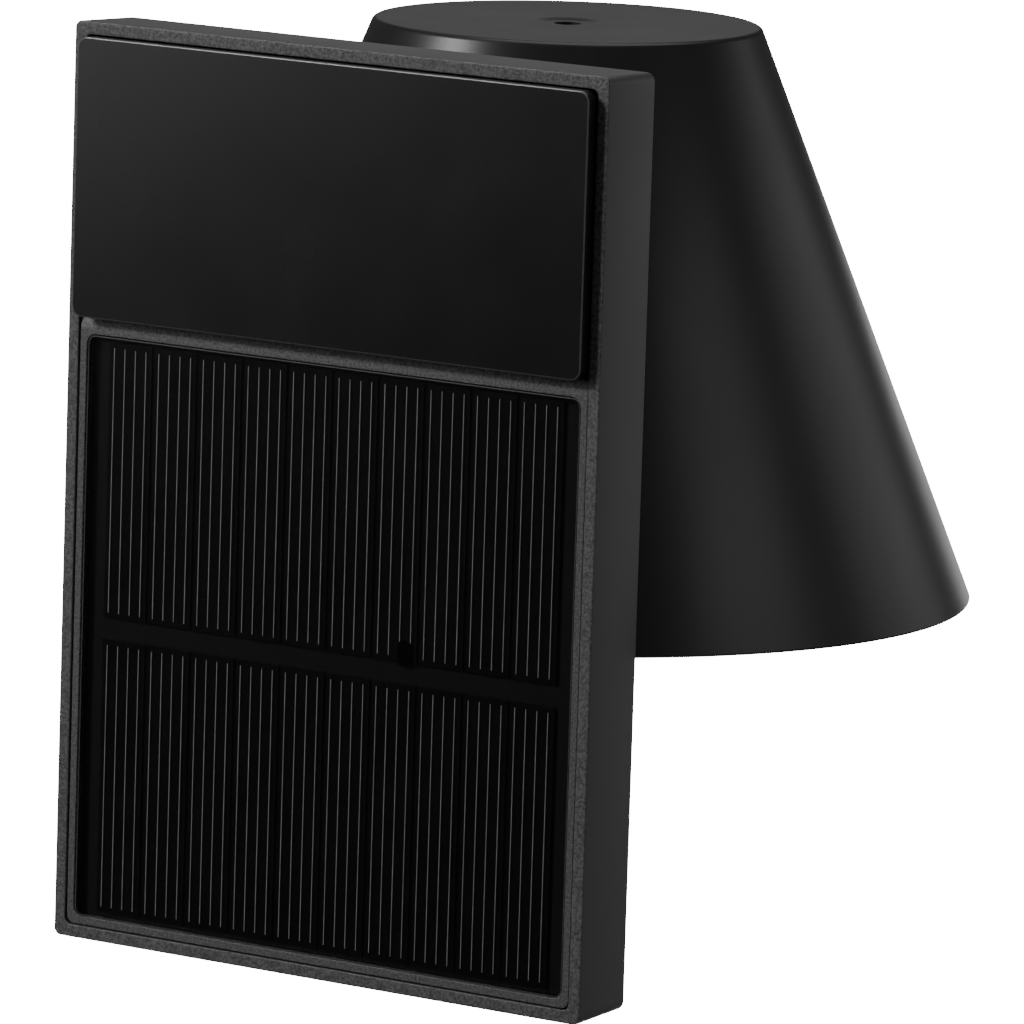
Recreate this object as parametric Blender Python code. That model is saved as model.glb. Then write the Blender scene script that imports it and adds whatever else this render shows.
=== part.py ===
"""A solar window lamp: a flat panel housing that sticks to a pane by its pad, its
solar cells looking out through the glass, and a conical down-light shade behind it.

World axes: the pad's front face is centred on the origin and looks along -Y, Z is up,
and the shade hangs on the +Y side. The pieces are modelled in the panel's own frame,
under the empty lamp_frame: X across from the middle, Y back from the rim's front
plane, Z up from the panel's bottom edge.
"""

import math

import bmesh
import bpy
from mathutils import Matrix, Vector

MM = 0.001

# Driving dimensions, in millimetres.
CLEARANCE = 0.3          # between pieces that touch
OVERCUT = 1.0            # how far a cutting tool runs past what it cuts
FUSE = 1.0               # how far a boss runs into the wall it grows from
PANEL_WIDTH = 110.0
PANEL_HEIGHT = 160.0
PANEL_DEPTH = 14.5
DRAFT = 0.4              # the housing's taper, a side, from front to back
FRONT_CORNER = 1.3       # corner radii of the housing
BACK_CORNER = 1.5
BACK_EDGE = 0.5          # rounding of the housing's back edge
HOUSING_WALL = 2.0       # the back wall
RIM = 2.25               # the housing's side wall, seen as the rim
GROOVE = 0.4             # parting line between the rim and the bezel
BAND = 1.2               # the bezel's visible band
BEZEL_RECESS = 0.3       # below the rim's front plane
BEZEL_DEPTH = 7.2
LEDGE_WIDTH = 3.6
GLASS_GAP = 0.2          # round the clear cover
GLASS_RECESS = 0.5
GLASS_CORNER = 1.5
COVER_THICKNESS = 0.75
COVER_CHAMFER = 0.2
CELL_ROWS = 2
CELL_COLUMNS = 10
CELL_THICKNESS = 0.2
CELL_SIDE_MARGIN = 3.9   # from the cover's edge to the strips
CELL_END_MARGIN = 1.0
CELL_GAP = 0.5           # between strips
ROW_GAP = 3.8
SOLAR_BOARD_THICKNESS = 1.2
TAPE = 0.6
CROSS_BAR = 3.0          # the bezel's bar between the solar window and the pad
PAD_HEIGHT = 48.3
PAD_GAP = 0.2            # round the pad
PAD_PROUD = 2.4          # in front of the rim's plane
PAD_SUNK = 1.5           # behind it
PAD_CORNER = 1.9
PAD_CHAMFER = 0.3
PLATFORM = 2.0           # the bezel's floor under the pad
CORNER_SCREW_INSET = 6.4
CORNER_SCREW_LENGTH = 5.0
PILOT_SPARE = 1.0        # how much deeper a corner screw's hole is
SCREW_HEAD = 2.6         # radii
SCREW_SHANK = 1.1
SCREW_HEAD_HEIGHT = 1.4
SCREW_HEAD_SUNK = 0.2    # the corner screws' heads, below the back
BOSS_WALL = 1.7
BOARD_THICKNESS = 1.2
MAIN_BOARD_WIDTH = 72.0
MAIN_BOARD_HEIGHT = 34.0
MAIN_BOARD_DROP = 1.6     # its middle below the pad's
MAIN_BOARD_STAND_OFF = 2.2
BATTERY_WIDTH = 62.0
BATTERY_THICKNESS = 3.4
BATTERY_CORNER = 2.0
BATTERY_TAPE_INSET = 6.0
BATTERY_RISE = 11.0      # its bottom above the panel's
BATTERY_DROP = 3.0       # its top below the shade's bottom
SHADE_BITE = 19.2        # how far the bottom circle would reach past the cut
SHADE_TOP_RADIUS = 33.9
SHADE_BOTTOM_RADIUS = 73.9
SHADE_HEIGHT = 99.5
SHADE_TOP_DROP = 0.5     # its top below the panel's
SHADE_WALL = 2.2
SHADE_TOP_WALL = 2.5
SHADE_BACK_WALL = 2.5
SHADE_EDGE = 1.0
DISH_RADIUS = 6.0
DISH_SLOPE = 1.5         # width of the dish's sloping side
DISH_DEPTH = 0.4
BUTTON_RADIUS = 2.1
BUTTON_COLLAR = 4.0
COLLAR_THICKNESS = 1.6
BUTTON_CHAMFER = 0.3
BUTTON_TRAVEL = 0.8
BUTTON_SUNK = 0.5        # below the dish
GUIDE_WALL = 1.6
GUIDE_HEIGHT = 3.0       # below the shade's ceiling
HOLDER_RADIUS = 30.0
HOLDER_WALL = 1.8
HOLDER_DROP = 11.0       # the cup's top below the shade's
HOLDER_HEIGHT = 19.0
HOLDER_BOSS_INSET = 9.0
HOLDER_SCREW_LENGTH = 8.0
PILOT_CAP = 2.0          # of the boss left over a holder screw's hole
SWITCH_BOARD_THICKNESS = 1.0
SWITCH_BOARD_WIDTH = 18.0
SWITCH_BOARD_LENGTH = 24.0
SWITCH_BOARD_REACH = 15.0 # from the shade's axis towards the housing
SWITCH_RADIUS = 3.0
SWITCH_STEM = 1.4        # radius and height of the switch's stem
SWITCH_STEM_HEIGHT = 0.8
LINK_WIDTH = 8.0
LINK_THICKNESS = 2.6
LINK_REACH = 10.3
LINK_ROOM = 0.5          # round the link in its slot
LED_COUNT = 4
LED_INSET = 18.0         # from the holder's outside to the ring of LEDs
LED_SIZE = 5.0
LED_HEIGHT = 1.4
LED_BOARD_INSET = 4.0
LED_BOARD_THICKNESS = 1.6
DIFFUSER_THICKNESS = 2.0
RING_WALL = 1.7
RING_LIP = 3.0
RING_GRIP = 6.0          # how far the ring reaches up the holder
LEAD_RADIUS = 1.1
THIN_LEAD_RADIUS = 0.7
SOLAR_LEAD_X = 24.0
BATTERY_LEAD_X = -22.0
SHADE_SCREW_OFFSETS = (29.5, 12.9) # from the middle plane, lower and upper pair
SHADE_SCREW_INSET = 13.5           # from the edge of the shade's flat back
SHADE_SCREW_LENGTH = 10.0
LEAD_HOLE_RISE = 24.0
GROMMET_NECK = 2.8
GROMMET_FLANGE = 4.4
GROMMET_FLANGE_THICKNESS = 1.2
GROMMET_TAIL = 2.0       # how far it stands into the shade
SEAL_WIDTH = 3.0
SEAL_THICKNESS = 0.8

# What follows from them.
POCKET_WIDTH = PANEL_WIDTH - 2 * RIM
POCKET_HEIGHT = PANEL_HEIGHT - 2 * RIM
PANEL_MIDDLE = PANEL_HEIGHT / 2
BEZEL_WIDTH = POCKET_WIDTH - 2 * GROOVE
BEZEL_HEIGHT = POCKET_HEIGHT - 2 * GROOVE
BEZEL_BACK = BEZEL_RECESS + BEZEL_DEPTH
WALL_FRONT = PANEL_DEPTH - HOUSING_WALL
GLASS_INSET = RIM + GROOVE + BAND + GLASS_GAP
GLASS_WIDTH = PANEL_WIDTH - 2 * GLASS_INSET
PAD_WIDTH = POCKET_WIDTH - 2 * PAD_GAP
PAD_TOP = PANEL_HEIGHT - RIM - PAD_GAP
PAD_MIDDLE = PAD_TOP - PAD_HEIGHT / 2
PAD_BOTTOM = PAD_TOP - PAD_HEIGHT
BAR_TOP = PAD_BOTTOM - PAD_GAP
GLASS_TOP = BAR_TOP - CROSS_BAR - GLASS_GAP
GLASS_HEIGHT = GLASS_TOP - GLASS_INSET
GLASS_MIDDLE = (GLASS_TOP + GLASS_INSET) / 2
CELL_FRONT = GLASS_RECESS + COVER_THICKNESS + CLEARANCE
SOLAR_BOARD_FRONT = CELL_FRONT + CELL_THICKNESS + CLEARANCE
SOLAR_BOARD_BACK = SOLAR_BOARD_FRONT + SOLAR_BOARD_THICKNESS
LEDGE_FRONT = SOLAR_BOARD_BACK + TAPE + 2 * CLEARANCE
WINDOW_WIDTH = GLASS_WIDTH - 2 * LEDGE_WIDTH
WINDOW_HEIGHT = GLASS_HEIGHT - 2 * LEDGE_WIDTH
CELL_PITCH = (GLASS_WIDTH - 2 * CELL_SIDE_MARGIN + CELL_GAP) / CELL_COLUMNS
ROW_PITCH = (GLASS_HEIGHT - 2 * CELL_END_MARGIN + ROW_GAP) / CELL_ROWS
MAIN_BOARD_MIDDLE = PAD_MIDDLE - MAIN_BOARD_DROP
PLATFORM_FRONT = PAD_SUNK + TAPE + 2 * CLEARANCE
PLATFORM_BACK = PLATFORM_FRONT + PLATFORM
SHADE_FLAT = PANEL_DEPTH + CLEARANCE
SHADE_AXIS_Y = SHADE_FLAT + SHADE_BOTTOM_RADIUS - SHADE_BITE
SHADE_TOP = PANEL_HEIGHT - SHADE_TOP_DROP
SHADE_BOTTOM = SHADE_TOP - SHADE_HEIGHT
BATTERY_HEIGHT = SHADE_BOTTOM - BATTERY_DROP - BATTERY_RISE
BATTERY_MIDDLE = BATTERY_RISE + BATTERY_HEIGHT / 2
SLOPE = (SHADE_BOTTOM_RADIUS - SHADE_TOP_RADIUS) / SHADE_HEIGHT
WALL_ACROSS = SHADE_WALL * math.hypot(1.0, SLOPE)
CEILING = SHADE_TOP - SHADE_TOP_WALL
COLLAR_TOP = CEILING - CLEARANCE
SCREW_SEAT = PANEL_DEPTH - SCREW_HEAD_HEIGHT - CLEARANCE
SCREW_HOLE = SCREW_SHANK + CLEARANCE
HEAD_HOLE = SCREW_HEAD + CLEARANCE
BOSS_RADIUS = SCREW_HOLE + BOSS_WALL
HOLDER_TOP = SHADE_TOP - HOLDER_DROP
HOLDER_BOTTOM = HOLDER_TOP - HOLDER_HEIGHT
LEAD_HOLE_Z = SHADE_BOTTOM + LEAD_HOLE_RISE
HOLDER_BOSS_CIRCLE = HOLDER_RADIUS - HOLDER_BOSS_INSET
LED_CIRCLE = HOLDER_RADIUS - LED_INSET
LED_BOARD_RADIUS = HOLDER_RADIUS - LED_BOARD_INSET
LED_BOARD_TOP = HOLDER_TOP - HOLDER_WALL - CLEARANCE
LED_BOARD_BOTTOM = LED_BOARD_TOP - LED_BOARD_THICKNESS


def material(name, colour, roughness, metallic=0.0):
    """A Principled material of one plain colour."""
    made = bpy.data.materials.new(name)
    made.use_nodes = True
    shader = made.node_tree.nodes["Principled BSDF"]
    shader.inputs["Base Color"].default_value = (*colour, 1.0)
    shader.inputs["Roughness"].default_value = roughness
    shader.inputs["Metallic"].default_value = metallic
    return made


def add_object(name, shape, finish, place=(0.0, 0.0, 0.0)):
    """An object under lamp_frame from a bmesh in millimetres, its origin at place."""
    bmesh.ops.recalc_face_normals(shape, faces=shape.faces)
    bmesh.ops.transform(shape, matrix=Matrix.Scale(MM, 4), verts=shape.verts)
    mesh = bpy.data.meshes.new(name)
    shape.to_mesh(mesh)
    shape.free()
    mesh.shade_smooth()
    mesh.set_sharp_from_angle(angle=math.radians(35.0))
    made = bpy.data.objects.new(name, mesh)
    if finish:
        mesh.materials.append(finish)
    made.location = Vector(place) * MM
    made.parent = lamp_frame
    bpy.context.scene.collection.objects.link(made)
    return made


def bridge(shape, rings, closed):
    """Quads between each ring of points and the next, and caps unless it is closed."""
    loops = [[shape.verts.new(point) for point in ring] for ring in rings]
    pairs = list(zip(loops, loops[1:]))
    if closed:
        pairs.append((loops[-1], loops[0]))
    for near, far in pairs:
        for i in range(len(near)):
            j = (i + 1) % len(near)
            shape.faces.new((near[i], near[j], far[j], far[i]))
    if not closed:
        shape.faces.new(loops[0])
        shape.faces.new(reversed(loops[-1]))


def rounded_outline(width, height, radius, steps=4):
    """Points of a rectangle with round corners, centred, as (x, z)."""
    points = []
    corners = ((1, 1, 0), (-1, 1, 90), (-1, -1, 180), (1, -1, 270))
    for side_x, side_z, start in corners:
        for step in range(steps + 1):
            angle = math.radians(start + 90.0 * step / steps)
            x = side_x * (width / 2 - radius) + radius * math.cos(angle)
            z = side_z * (height / 2 - radius) + radius * math.sin(angle)
            points.append((x, z))
    return points


def slab(name, sections, middle, finish):
    """A closed slab across Y. Each section is (y, width, height, corner radius)."""
    shape = bmesh.new()
    rings = []
    for y, width, height, radius in sections:
        outline = rounded_outline(width, height, radius)
        rings.append([(x, y, z) for x, z in outline])
    bridge(shape, rings, closed=False)
    return add_object(name, shape, finish, (middle[0], 0.0, middle[1]))


def block(name, size, low, finish):
    """A plain block from its lowest corner."""
    shape = bmesh.new()
    bmesh.ops.create_cube(shape, size=1.0)
    bmesh.ops.scale(shape, vec=size, verts=shape.verts)
    middle = [start + side / 2 for start, side in zip(low, size)]
    return add_object(name, shape, finish, middle)


def turned(name, profile, place, finish, steps=64, axis="Z"):
    """A profile of (radius, height) points turned about an axis through place.

    A profile that starts and ends on the axis makes a solid piece, any other a ring.
    """
    shape = bmesh.new()
    inner = [point for point in profile if point[0] > 0.0]
    rings = []
    for radius, height in inner:
        ring = []
        for step in range(steps):
            angle = 2.0 * math.pi * step / steps
            ring.append((radius * math.cos(angle), radius * math.sin(angle), height))
        rings.append(ring)
    bridge(shape, rings, closed=len(inner) == len(profile))
    if axis == "Y":
        quarter = Matrix.Rotation(math.radians(-90.0), 4, "X")
        bmesh.ops.transform(shape, matrix=quarter, verts=shape.verts)
    return add_object(name, shape, finish, place)


def cylinder(name, radius, start, end, place, finish, axis="Y", steps=16):
    """A plain cylinder along an axis, from start to end."""
    profile = [(0.0, start), (radius, start), (radius, end), (0.0, end)]
    return turned(name, profile, place, finish, steps, axis)


def combine(target, tool, operation):
    """Cuts the tool from the target, or joins it on, and hides the tool."""
    change = target.modifiers.new(f"{operation.lower()}_{tool.name}", "BOOLEAN")
    change.operation = operation
    change.object = tool
    tool.hide_render = True
    tool.display_type = "WIRE"


def cut(target, tool):
    combine(target, tool, "DIFFERENCE")


def join(target, tool):
    combine(target, tool, "UNION")


def tube(name, points, radius, finish):
    """A lead: a round tube through its route's points, on one smooth curve."""
    route = [Vector(point) for point in points]
    padded = [2 * route[0] - route[1], *route, 2 * route[-1] - route[-2]]
    smooth = []
    for before, start, end, after in zip(padded, padded[1:], padded[2:], padded[3:]):
        steps = max(1, round((end - start).length / (5.0 * radius)))
        for step in range(steps):
            t = step / steps
            pull = (end - before) * t + (2 * before - 5 * start + 4 * end - after) * t * t
            pull += (3 * start - before - 3 * end + after) * t**3
            smooth.append(start + pull / 2)
    smooth.append(route[-1])
    curve = bpy.data.curves.new(name, "CURVE")
    curve.dimensions = "3D"
    curve.bevel_depth = radius * MM
    curve.bevel_resolution = 2
    curve.use_fill_caps = True
    spline = curve.splines.new("POLY")
    spline.points.add(len(smooth) - 1)
    for point, place in zip(spline.points, smooth):
        point.co = (*(place * MM), 1.0)
    curve.materials.append(finish)
    made = bpy.data.objects.new(name, curve)
    made.parent = lamp_frame
    bpy.context.scene.collection.objects.link(made)
    return made


def shade_radius(z):
    """The shade's outer radius at a height."""
    return SHADE_TOP_RADIUS + (SHADE_TOP - z) * SLOPE


def corner_screw_places():
    """The four (x, z) places where the housing is screwed to the bezel."""
    x = PANEL_WIDTH / 2 - CORNER_SCREW_INSET
    low = CORNER_SCREW_INSET
    return [(-x, low), (x, low), (-x, PANEL_HEIGHT - low), (x, PANEL_HEIGHT - low)]


def lead_place(z, stand_off):
    """A point of the lamp lead inside the shade, that far from the wall behind it."""
    cone = SHADE_AXIS_Y - (shade_radius(z) - WALL_ACROSS)
    return (0, max(cone, SHADE_FLAT + SHADE_BACK_WALL) + stand_off, z)


def shade_screw_places():
    """The four (x, z) places where the shade is screwed to the housing."""
    places = []
    for x in SHADE_SCREW_OFFSETS:
        cone = math.hypot(x + SHADE_SCREW_INSET, SHADE_AXIS_Y - SHADE_FLAT)
        z = SHADE_TOP - (cone - SHADE_TOP_RADIUS) / SLOPE
        places += [(-x, z), (x, z)]
    return places


def holder_screw_places():
    """The three (x, y) places where the lamp holder hangs from the shade."""
    places = []
    for turn in (90.0, 210.0, 330.0):
        angle = math.radians(turn)
        x = HOLDER_BOSS_CIRCLE * math.cos(angle)
        places.append((x, SHADE_AXIS_Y + HOLDER_BOSS_CIRCLE * math.sin(angle)))
    return places


def make_housing():
    """The rear housing: a moulded tub with draft, open to the front."""
    back_width = PANEL_WIDTH - 2 * DRAFT
    back_height = PANEL_HEIGHT - 2 * DRAFT
    sections = [(0.0, PANEL_WIDTH, PANEL_HEIGHT, FRONT_CORNER)]
    for step in range(4):
        angle = math.radians(30.0 * step)
        inset = 2 * BACK_EDGE * (1.0 - math.cos(angle))
        y = PANEL_DEPTH - BACK_EDGE * (1.0 - math.sin(angle))
        corner = BACK_CORNER - inset / 4
        sections.append((y, back_width - inset, back_height - inset, corner))
    middle = (0.0, PANEL_MIDDLE)
    housing = slab("rear_housing", sections, middle, black_satin)
    pocket = [(-OVERCUT, POCKET_WIDTH, POCKET_HEIGHT, FRONT_CORNER),
              (WALL_FRONT, POCKET_WIDTH, POCKET_HEIGHT, FRONT_CORNER)]
    cut(housing, slab("housing_pocket", pocket, middle, None))
    boss_front = SCREW_SEAT - BOSS_WALL
    for i, (x, z) in enumerate(corner_screw_places()):
        place = (x, 0.0, z)
        join(housing, cylinder(f"housing_boss_{i}", HEAD_HOLE + BOSS_WALL, boss_front,
                               WALL_FRONT + CLEARANCE, place, None))
        cut(housing, cylinder(f"head_hole_{i}", HEAD_HOLE, SCREW_SEAT,
                              PANEL_DEPTH + OVERCUT, place, None))
        cut(housing, cylinder(f"corner_hole_{i}", SCREW_HOLE, 0.0, PANEL_DEPTH,
                              place, None))
    for i, (x, z) in enumerate(shade_screw_places()):
        cut(housing, cylinder(f"shade_hole_{i}", SCREW_HOLE, 0.0, PANEL_DEPTH + OVERCUT,
                              (x, 0.0, z), None))
    cut(housing, cylinder("housing_lead_hole", GROMMET_NECK + CLEARANCE, 0.0,
                          PANEL_DEPTH + OVERCUT, (0.0, 0.0, LEAD_HOLE_Z), None))
    rest_start = WALL_FRONT - MAIN_BOARD_STAND_OFF
    for i, (side_x, side_z) in enumerate(((-1, -1), (1, -1), (-1, 1), (1, 1))):
        x = side_x * (MAIN_BOARD_WIDTH / 2 - BOSS_WALL)
        z = MAIN_BOARD_MIDDLE + side_z * (MAIN_BOARD_HEIGHT / 2 - BOSS_WALL)
        join(housing, cylinder(f"board_rest_{i}", BOSS_WALL, rest_start,
                               WALL_FRONT + CLEARANCE, (x, 0.0, z), None))


def make_bezel():
    """The front bezel: a deep frame with the solar window and the pad's platform."""
    middle = (0.0, PANEL_MIDDLE)
    sections = [(BEZEL_RECESS, BEZEL_WIDTH, BEZEL_HEIGHT, FRONT_CORNER),
                (BEZEL_BACK, BEZEL_WIDTH, BEZEL_HEIGHT, FRONT_CORNER)]
    bezel = slab("front_bezel", sections, middle, black_satin)
    width = GLASS_WIDTH + 2 * GLASS_GAP
    height = GLASS_HEIGHT + 2 * GLASS_GAP
    corner = GLASS_CORNER + GLASS_GAP
    pocket = [(-OVERCUT, width, height, corner), (LEDGE_FRONT, width, height, corner)]
    cut(bezel, slab("solar_pocket", pocket, (0.0, GLASS_MIDDLE), None))
    window = [(0.0, WINDOW_WIDTH, WINDOW_HEIGHT, corner),
              (BEZEL_BACK + OVERCUT, WINDOW_WIDTH, WINDOW_HEIGHT, corner)]
    cut(bezel, slab("solar_window", window, (0.0, GLASS_MIDDLE), None))
    cut(bezel, block("pad_recess", (PANEL_WIDTH, PLATFORM_FRONT + OVERCUT, PANEL_HEIGHT),
                     (-PANEL_WIDTH / 2, -OVERCUT, BAR_TOP), None))
    side = 2 * (CORNER_SCREW_INSET + BOSS_RADIUS)
    hollow_bottom = BAR_TOP + CROSS_BAR
    hollow_top = PANEL_HEIGHT - side / 2
    cut(bezel, block("platform_hollow",
                     (PANEL_WIDTH - side, BEZEL_DEPTH, hollow_top - hollow_bottom),
                     (-(PANEL_WIDTH - side) / 2, PLATFORM_BACK, hollow_bottom), None))
    boss_end = SCREW_SEAT - BOSS_WALL - CLEARANCE
    hole_start = SCREW_SEAT - CLEARANCE - CORNER_SCREW_LENGTH - PILOT_SPARE
    for i, (x, z) in enumerate(corner_screw_places()):
        place = (x, 0.0, z)
        join(bezel, cylinder(f"bezel_boss_{i}", BOSS_RADIUS, BEZEL_BACK - FUSE, boss_end,
                             place, None))
        cut(bezel, cylinder(f"bezel_pilot_{i}", SCREW_HOLE, hole_start, PANEL_DEPTH,
                            place, None))


def make_pad():
    """The glossy pad plate that stands proud of the rim, and its bonding tape."""
    inner_width = PAD_WIDTH - 2 * PAD_CHAMFER
    inner_height = PAD_HEIGHT - 2 * PAD_CHAMFER
    sections = [(-PAD_PROUD, inner_width, inner_height, PAD_CORNER - PAD_CHAMFER),
                (PAD_CHAMFER - PAD_PROUD, PAD_WIDTH, PAD_HEIGHT, PAD_CORNER),
                (PAD_SUNK, PAD_WIDTH, PAD_HEIGHT, PAD_CORNER)]
    slab("pad_plate", sections, (0.0, PAD_MIDDLE), black_gloss)
    start = PAD_SUNK + CLEARANCE
    tape = [(start, PAD_WIDTH - 2 * RIM, PAD_HEIGHT - 2 * RIM, PAD_CORNER),
            (start + TAPE, PAD_WIDTH - 2 * RIM, PAD_HEIGHT - 2 * RIM, PAD_CORNER)]
    slab("pad_tape", tape, (0.0, PAD_MIDDLE), grey_tape)


def make_solar_module():
    """Cover sheet, two rows of cell strips, their board, and the tape behind it."""
    cover = [(GLASS_RECESS, GLASS_WIDTH - 2 * COVER_CHAMFER,
              GLASS_HEIGHT - 2 * COVER_CHAMFER, GLASS_CORNER - COVER_CHAMFER),
             (GLASS_RECESS + COVER_CHAMFER, GLASS_WIDTH, GLASS_HEIGHT, GLASS_CORNER),
             (GLASS_RECESS + COVER_THICKNESS, GLASS_WIDTH, GLASS_HEIGHT, GLASS_CORNER)]
    slab("solar_cover", cover, (0.0, GLASS_MIDDLE), clear_cover)
    strip = (CELL_PITCH - CELL_GAP, CELL_THICKNESS, ROW_PITCH - ROW_GAP)
    for row in range(CELL_ROWS):
        z = GLASS_MIDDLE + (CELL_ROWS / 2 - row) * ROW_PITCH - ROW_PITCH + ROW_GAP / 2
        for column in range(CELL_COLUMNS):
            x = (column - CELL_COLUMNS / 2) * CELL_PITCH + CELL_GAP / 2
            number = row * CELL_COLUMNS + column + 1
            block(f"cell_strip_{number:02d}", strip, (x, CELL_FRONT, z), silicon)
    board = [(SOLAR_BOARD_FRONT, GLASS_WIDTH, GLASS_HEIGHT, GLASS_CORNER),
             (SOLAR_BOARD_BACK, GLASS_WIDTH, GLASS_HEIGHT, GLASS_CORNER)]
    slab("solar_board", board, (0.0, GLASS_MIDDLE), black_board)
    start = SOLAR_BOARD_BACK + CLEARANCE
    outer = [(start, GLASS_WIDTH, GLASS_HEIGHT, GLASS_CORNER),
             (start + TAPE, GLASS_WIDTH, GLASS_HEIGHT, GLASS_CORNER)]
    tape = slab("panel_tape", outer, (0.0, GLASS_MIDDLE), grey_tape)
    opening = [(0.0, WINDOW_WIDTH, WINDOW_HEIGHT, GLASS_CORNER),
               (PANEL_DEPTH, WINDOW_WIDTH, WINDOW_HEIGHT, GLASS_CORNER)]
    cut(tape, slab("tape_opening", opening, (0.0, GLASS_MIDDLE), None))


def screw(name, head_start, length, place, finish, axis="Y", steps=12):
    """A pan-head screw whose head starts at head_start and whose shank runs on."""
    way = 1.0 if length > 0 else -1.0
    under = head_start + way * SCREW_HEAD_HEIGHT
    dome = head_start + way * SCREW_HEAD_HEIGHT * 0.4
    socket = head_start + way * SCREW_HEAD_HEIGHT * 0.6
    profile = [(0.0, socket), (SCREW_HEAD * 0.35, socket), (SCREW_HEAD * 0.35, head_start),
               (SCREW_HEAD * 0.75, head_start), (SCREW_HEAD, dome), (SCREW_HEAD, under),
               (SCREW_SHANK, under), (SCREW_SHANK, under + length), (0.0, under + length)]
    return turned(name, profile, place, finish, steps, axis)


def make_screws():
    """Corner screws from the back, shade screws from inside, and holder screws."""
    head_back = PANEL_DEPTH - SCREW_HEAD_SUNK
    for i, (x, z) in enumerate(corner_screw_places()):
        screw(f"housing_screw_{i + 1}", head_back, -CORNER_SCREW_LENGTH, (x, 0.0, z),
              black_screw)
    head_front = WALL_FRONT - CLEARANCE - SCREW_HEAD_HEIGHT
    for i, (x, z) in enumerate(shade_screw_places()):
        screw(f"shade_screw_{i + 1}", head_front, SHADE_SCREW_LENGTH, (x, 0.0, z), steel)
    head_low = LED_BOARD_BOTTOM - CLEARANCE - SCREW_HEAD_HEIGHT
    for i, (x, y) in enumerate(holder_screw_places()):
        screw(f"holder_screw_{i + 1}", head_low, HOLDER_SCREW_LENGTH, (x, y, 0.0), steel,
              "Z")


def make_electronics():
    """The battery with its tape, and the charging and driving board."""
    back = WALL_FRONT - CLEARANCE - TAPE - CLEARANCE
    sections = [(back - BATTERY_THICKNESS, BATTERY_WIDTH, BATTERY_HEIGHT, BATTERY_CORNER),
                (back, BATTERY_WIDTH, BATTERY_HEIGHT, BATTERY_CORNER)]
    slab("battery_cell", sections, (0.0, BATTERY_MIDDLE), battery_foil)
    tape_width = BATTERY_WIDTH - 2 * BATTERY_TAPE_INSET
    tape_height = BATTERY_HEIGHT - 2 * BATTERY_TAPE_INSET
    block("battery_tape", (tape_width, TAPE, tape_height),
          (-tape_width / 2, back + CLEARANCE, BATTERY_MIDDLE - tape_height / 2), grey_tape)
    board_back = WALL_FRONT - MAIN_BOARD_STAND_OFF - CLEARANCE
    block("main_board", (MAIN_BOARD_WIDTH, BOARD_THICKNESS, MAIN_BOARD_HEIGHT),
          (-MAIN_BOARD_WIDTH / 2, board_back - BOARD_THICKNESS,
           MAIN_BOARD_MIDDLE - MAIN_BOARD_HEIGHT / 2), green_board)


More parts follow.
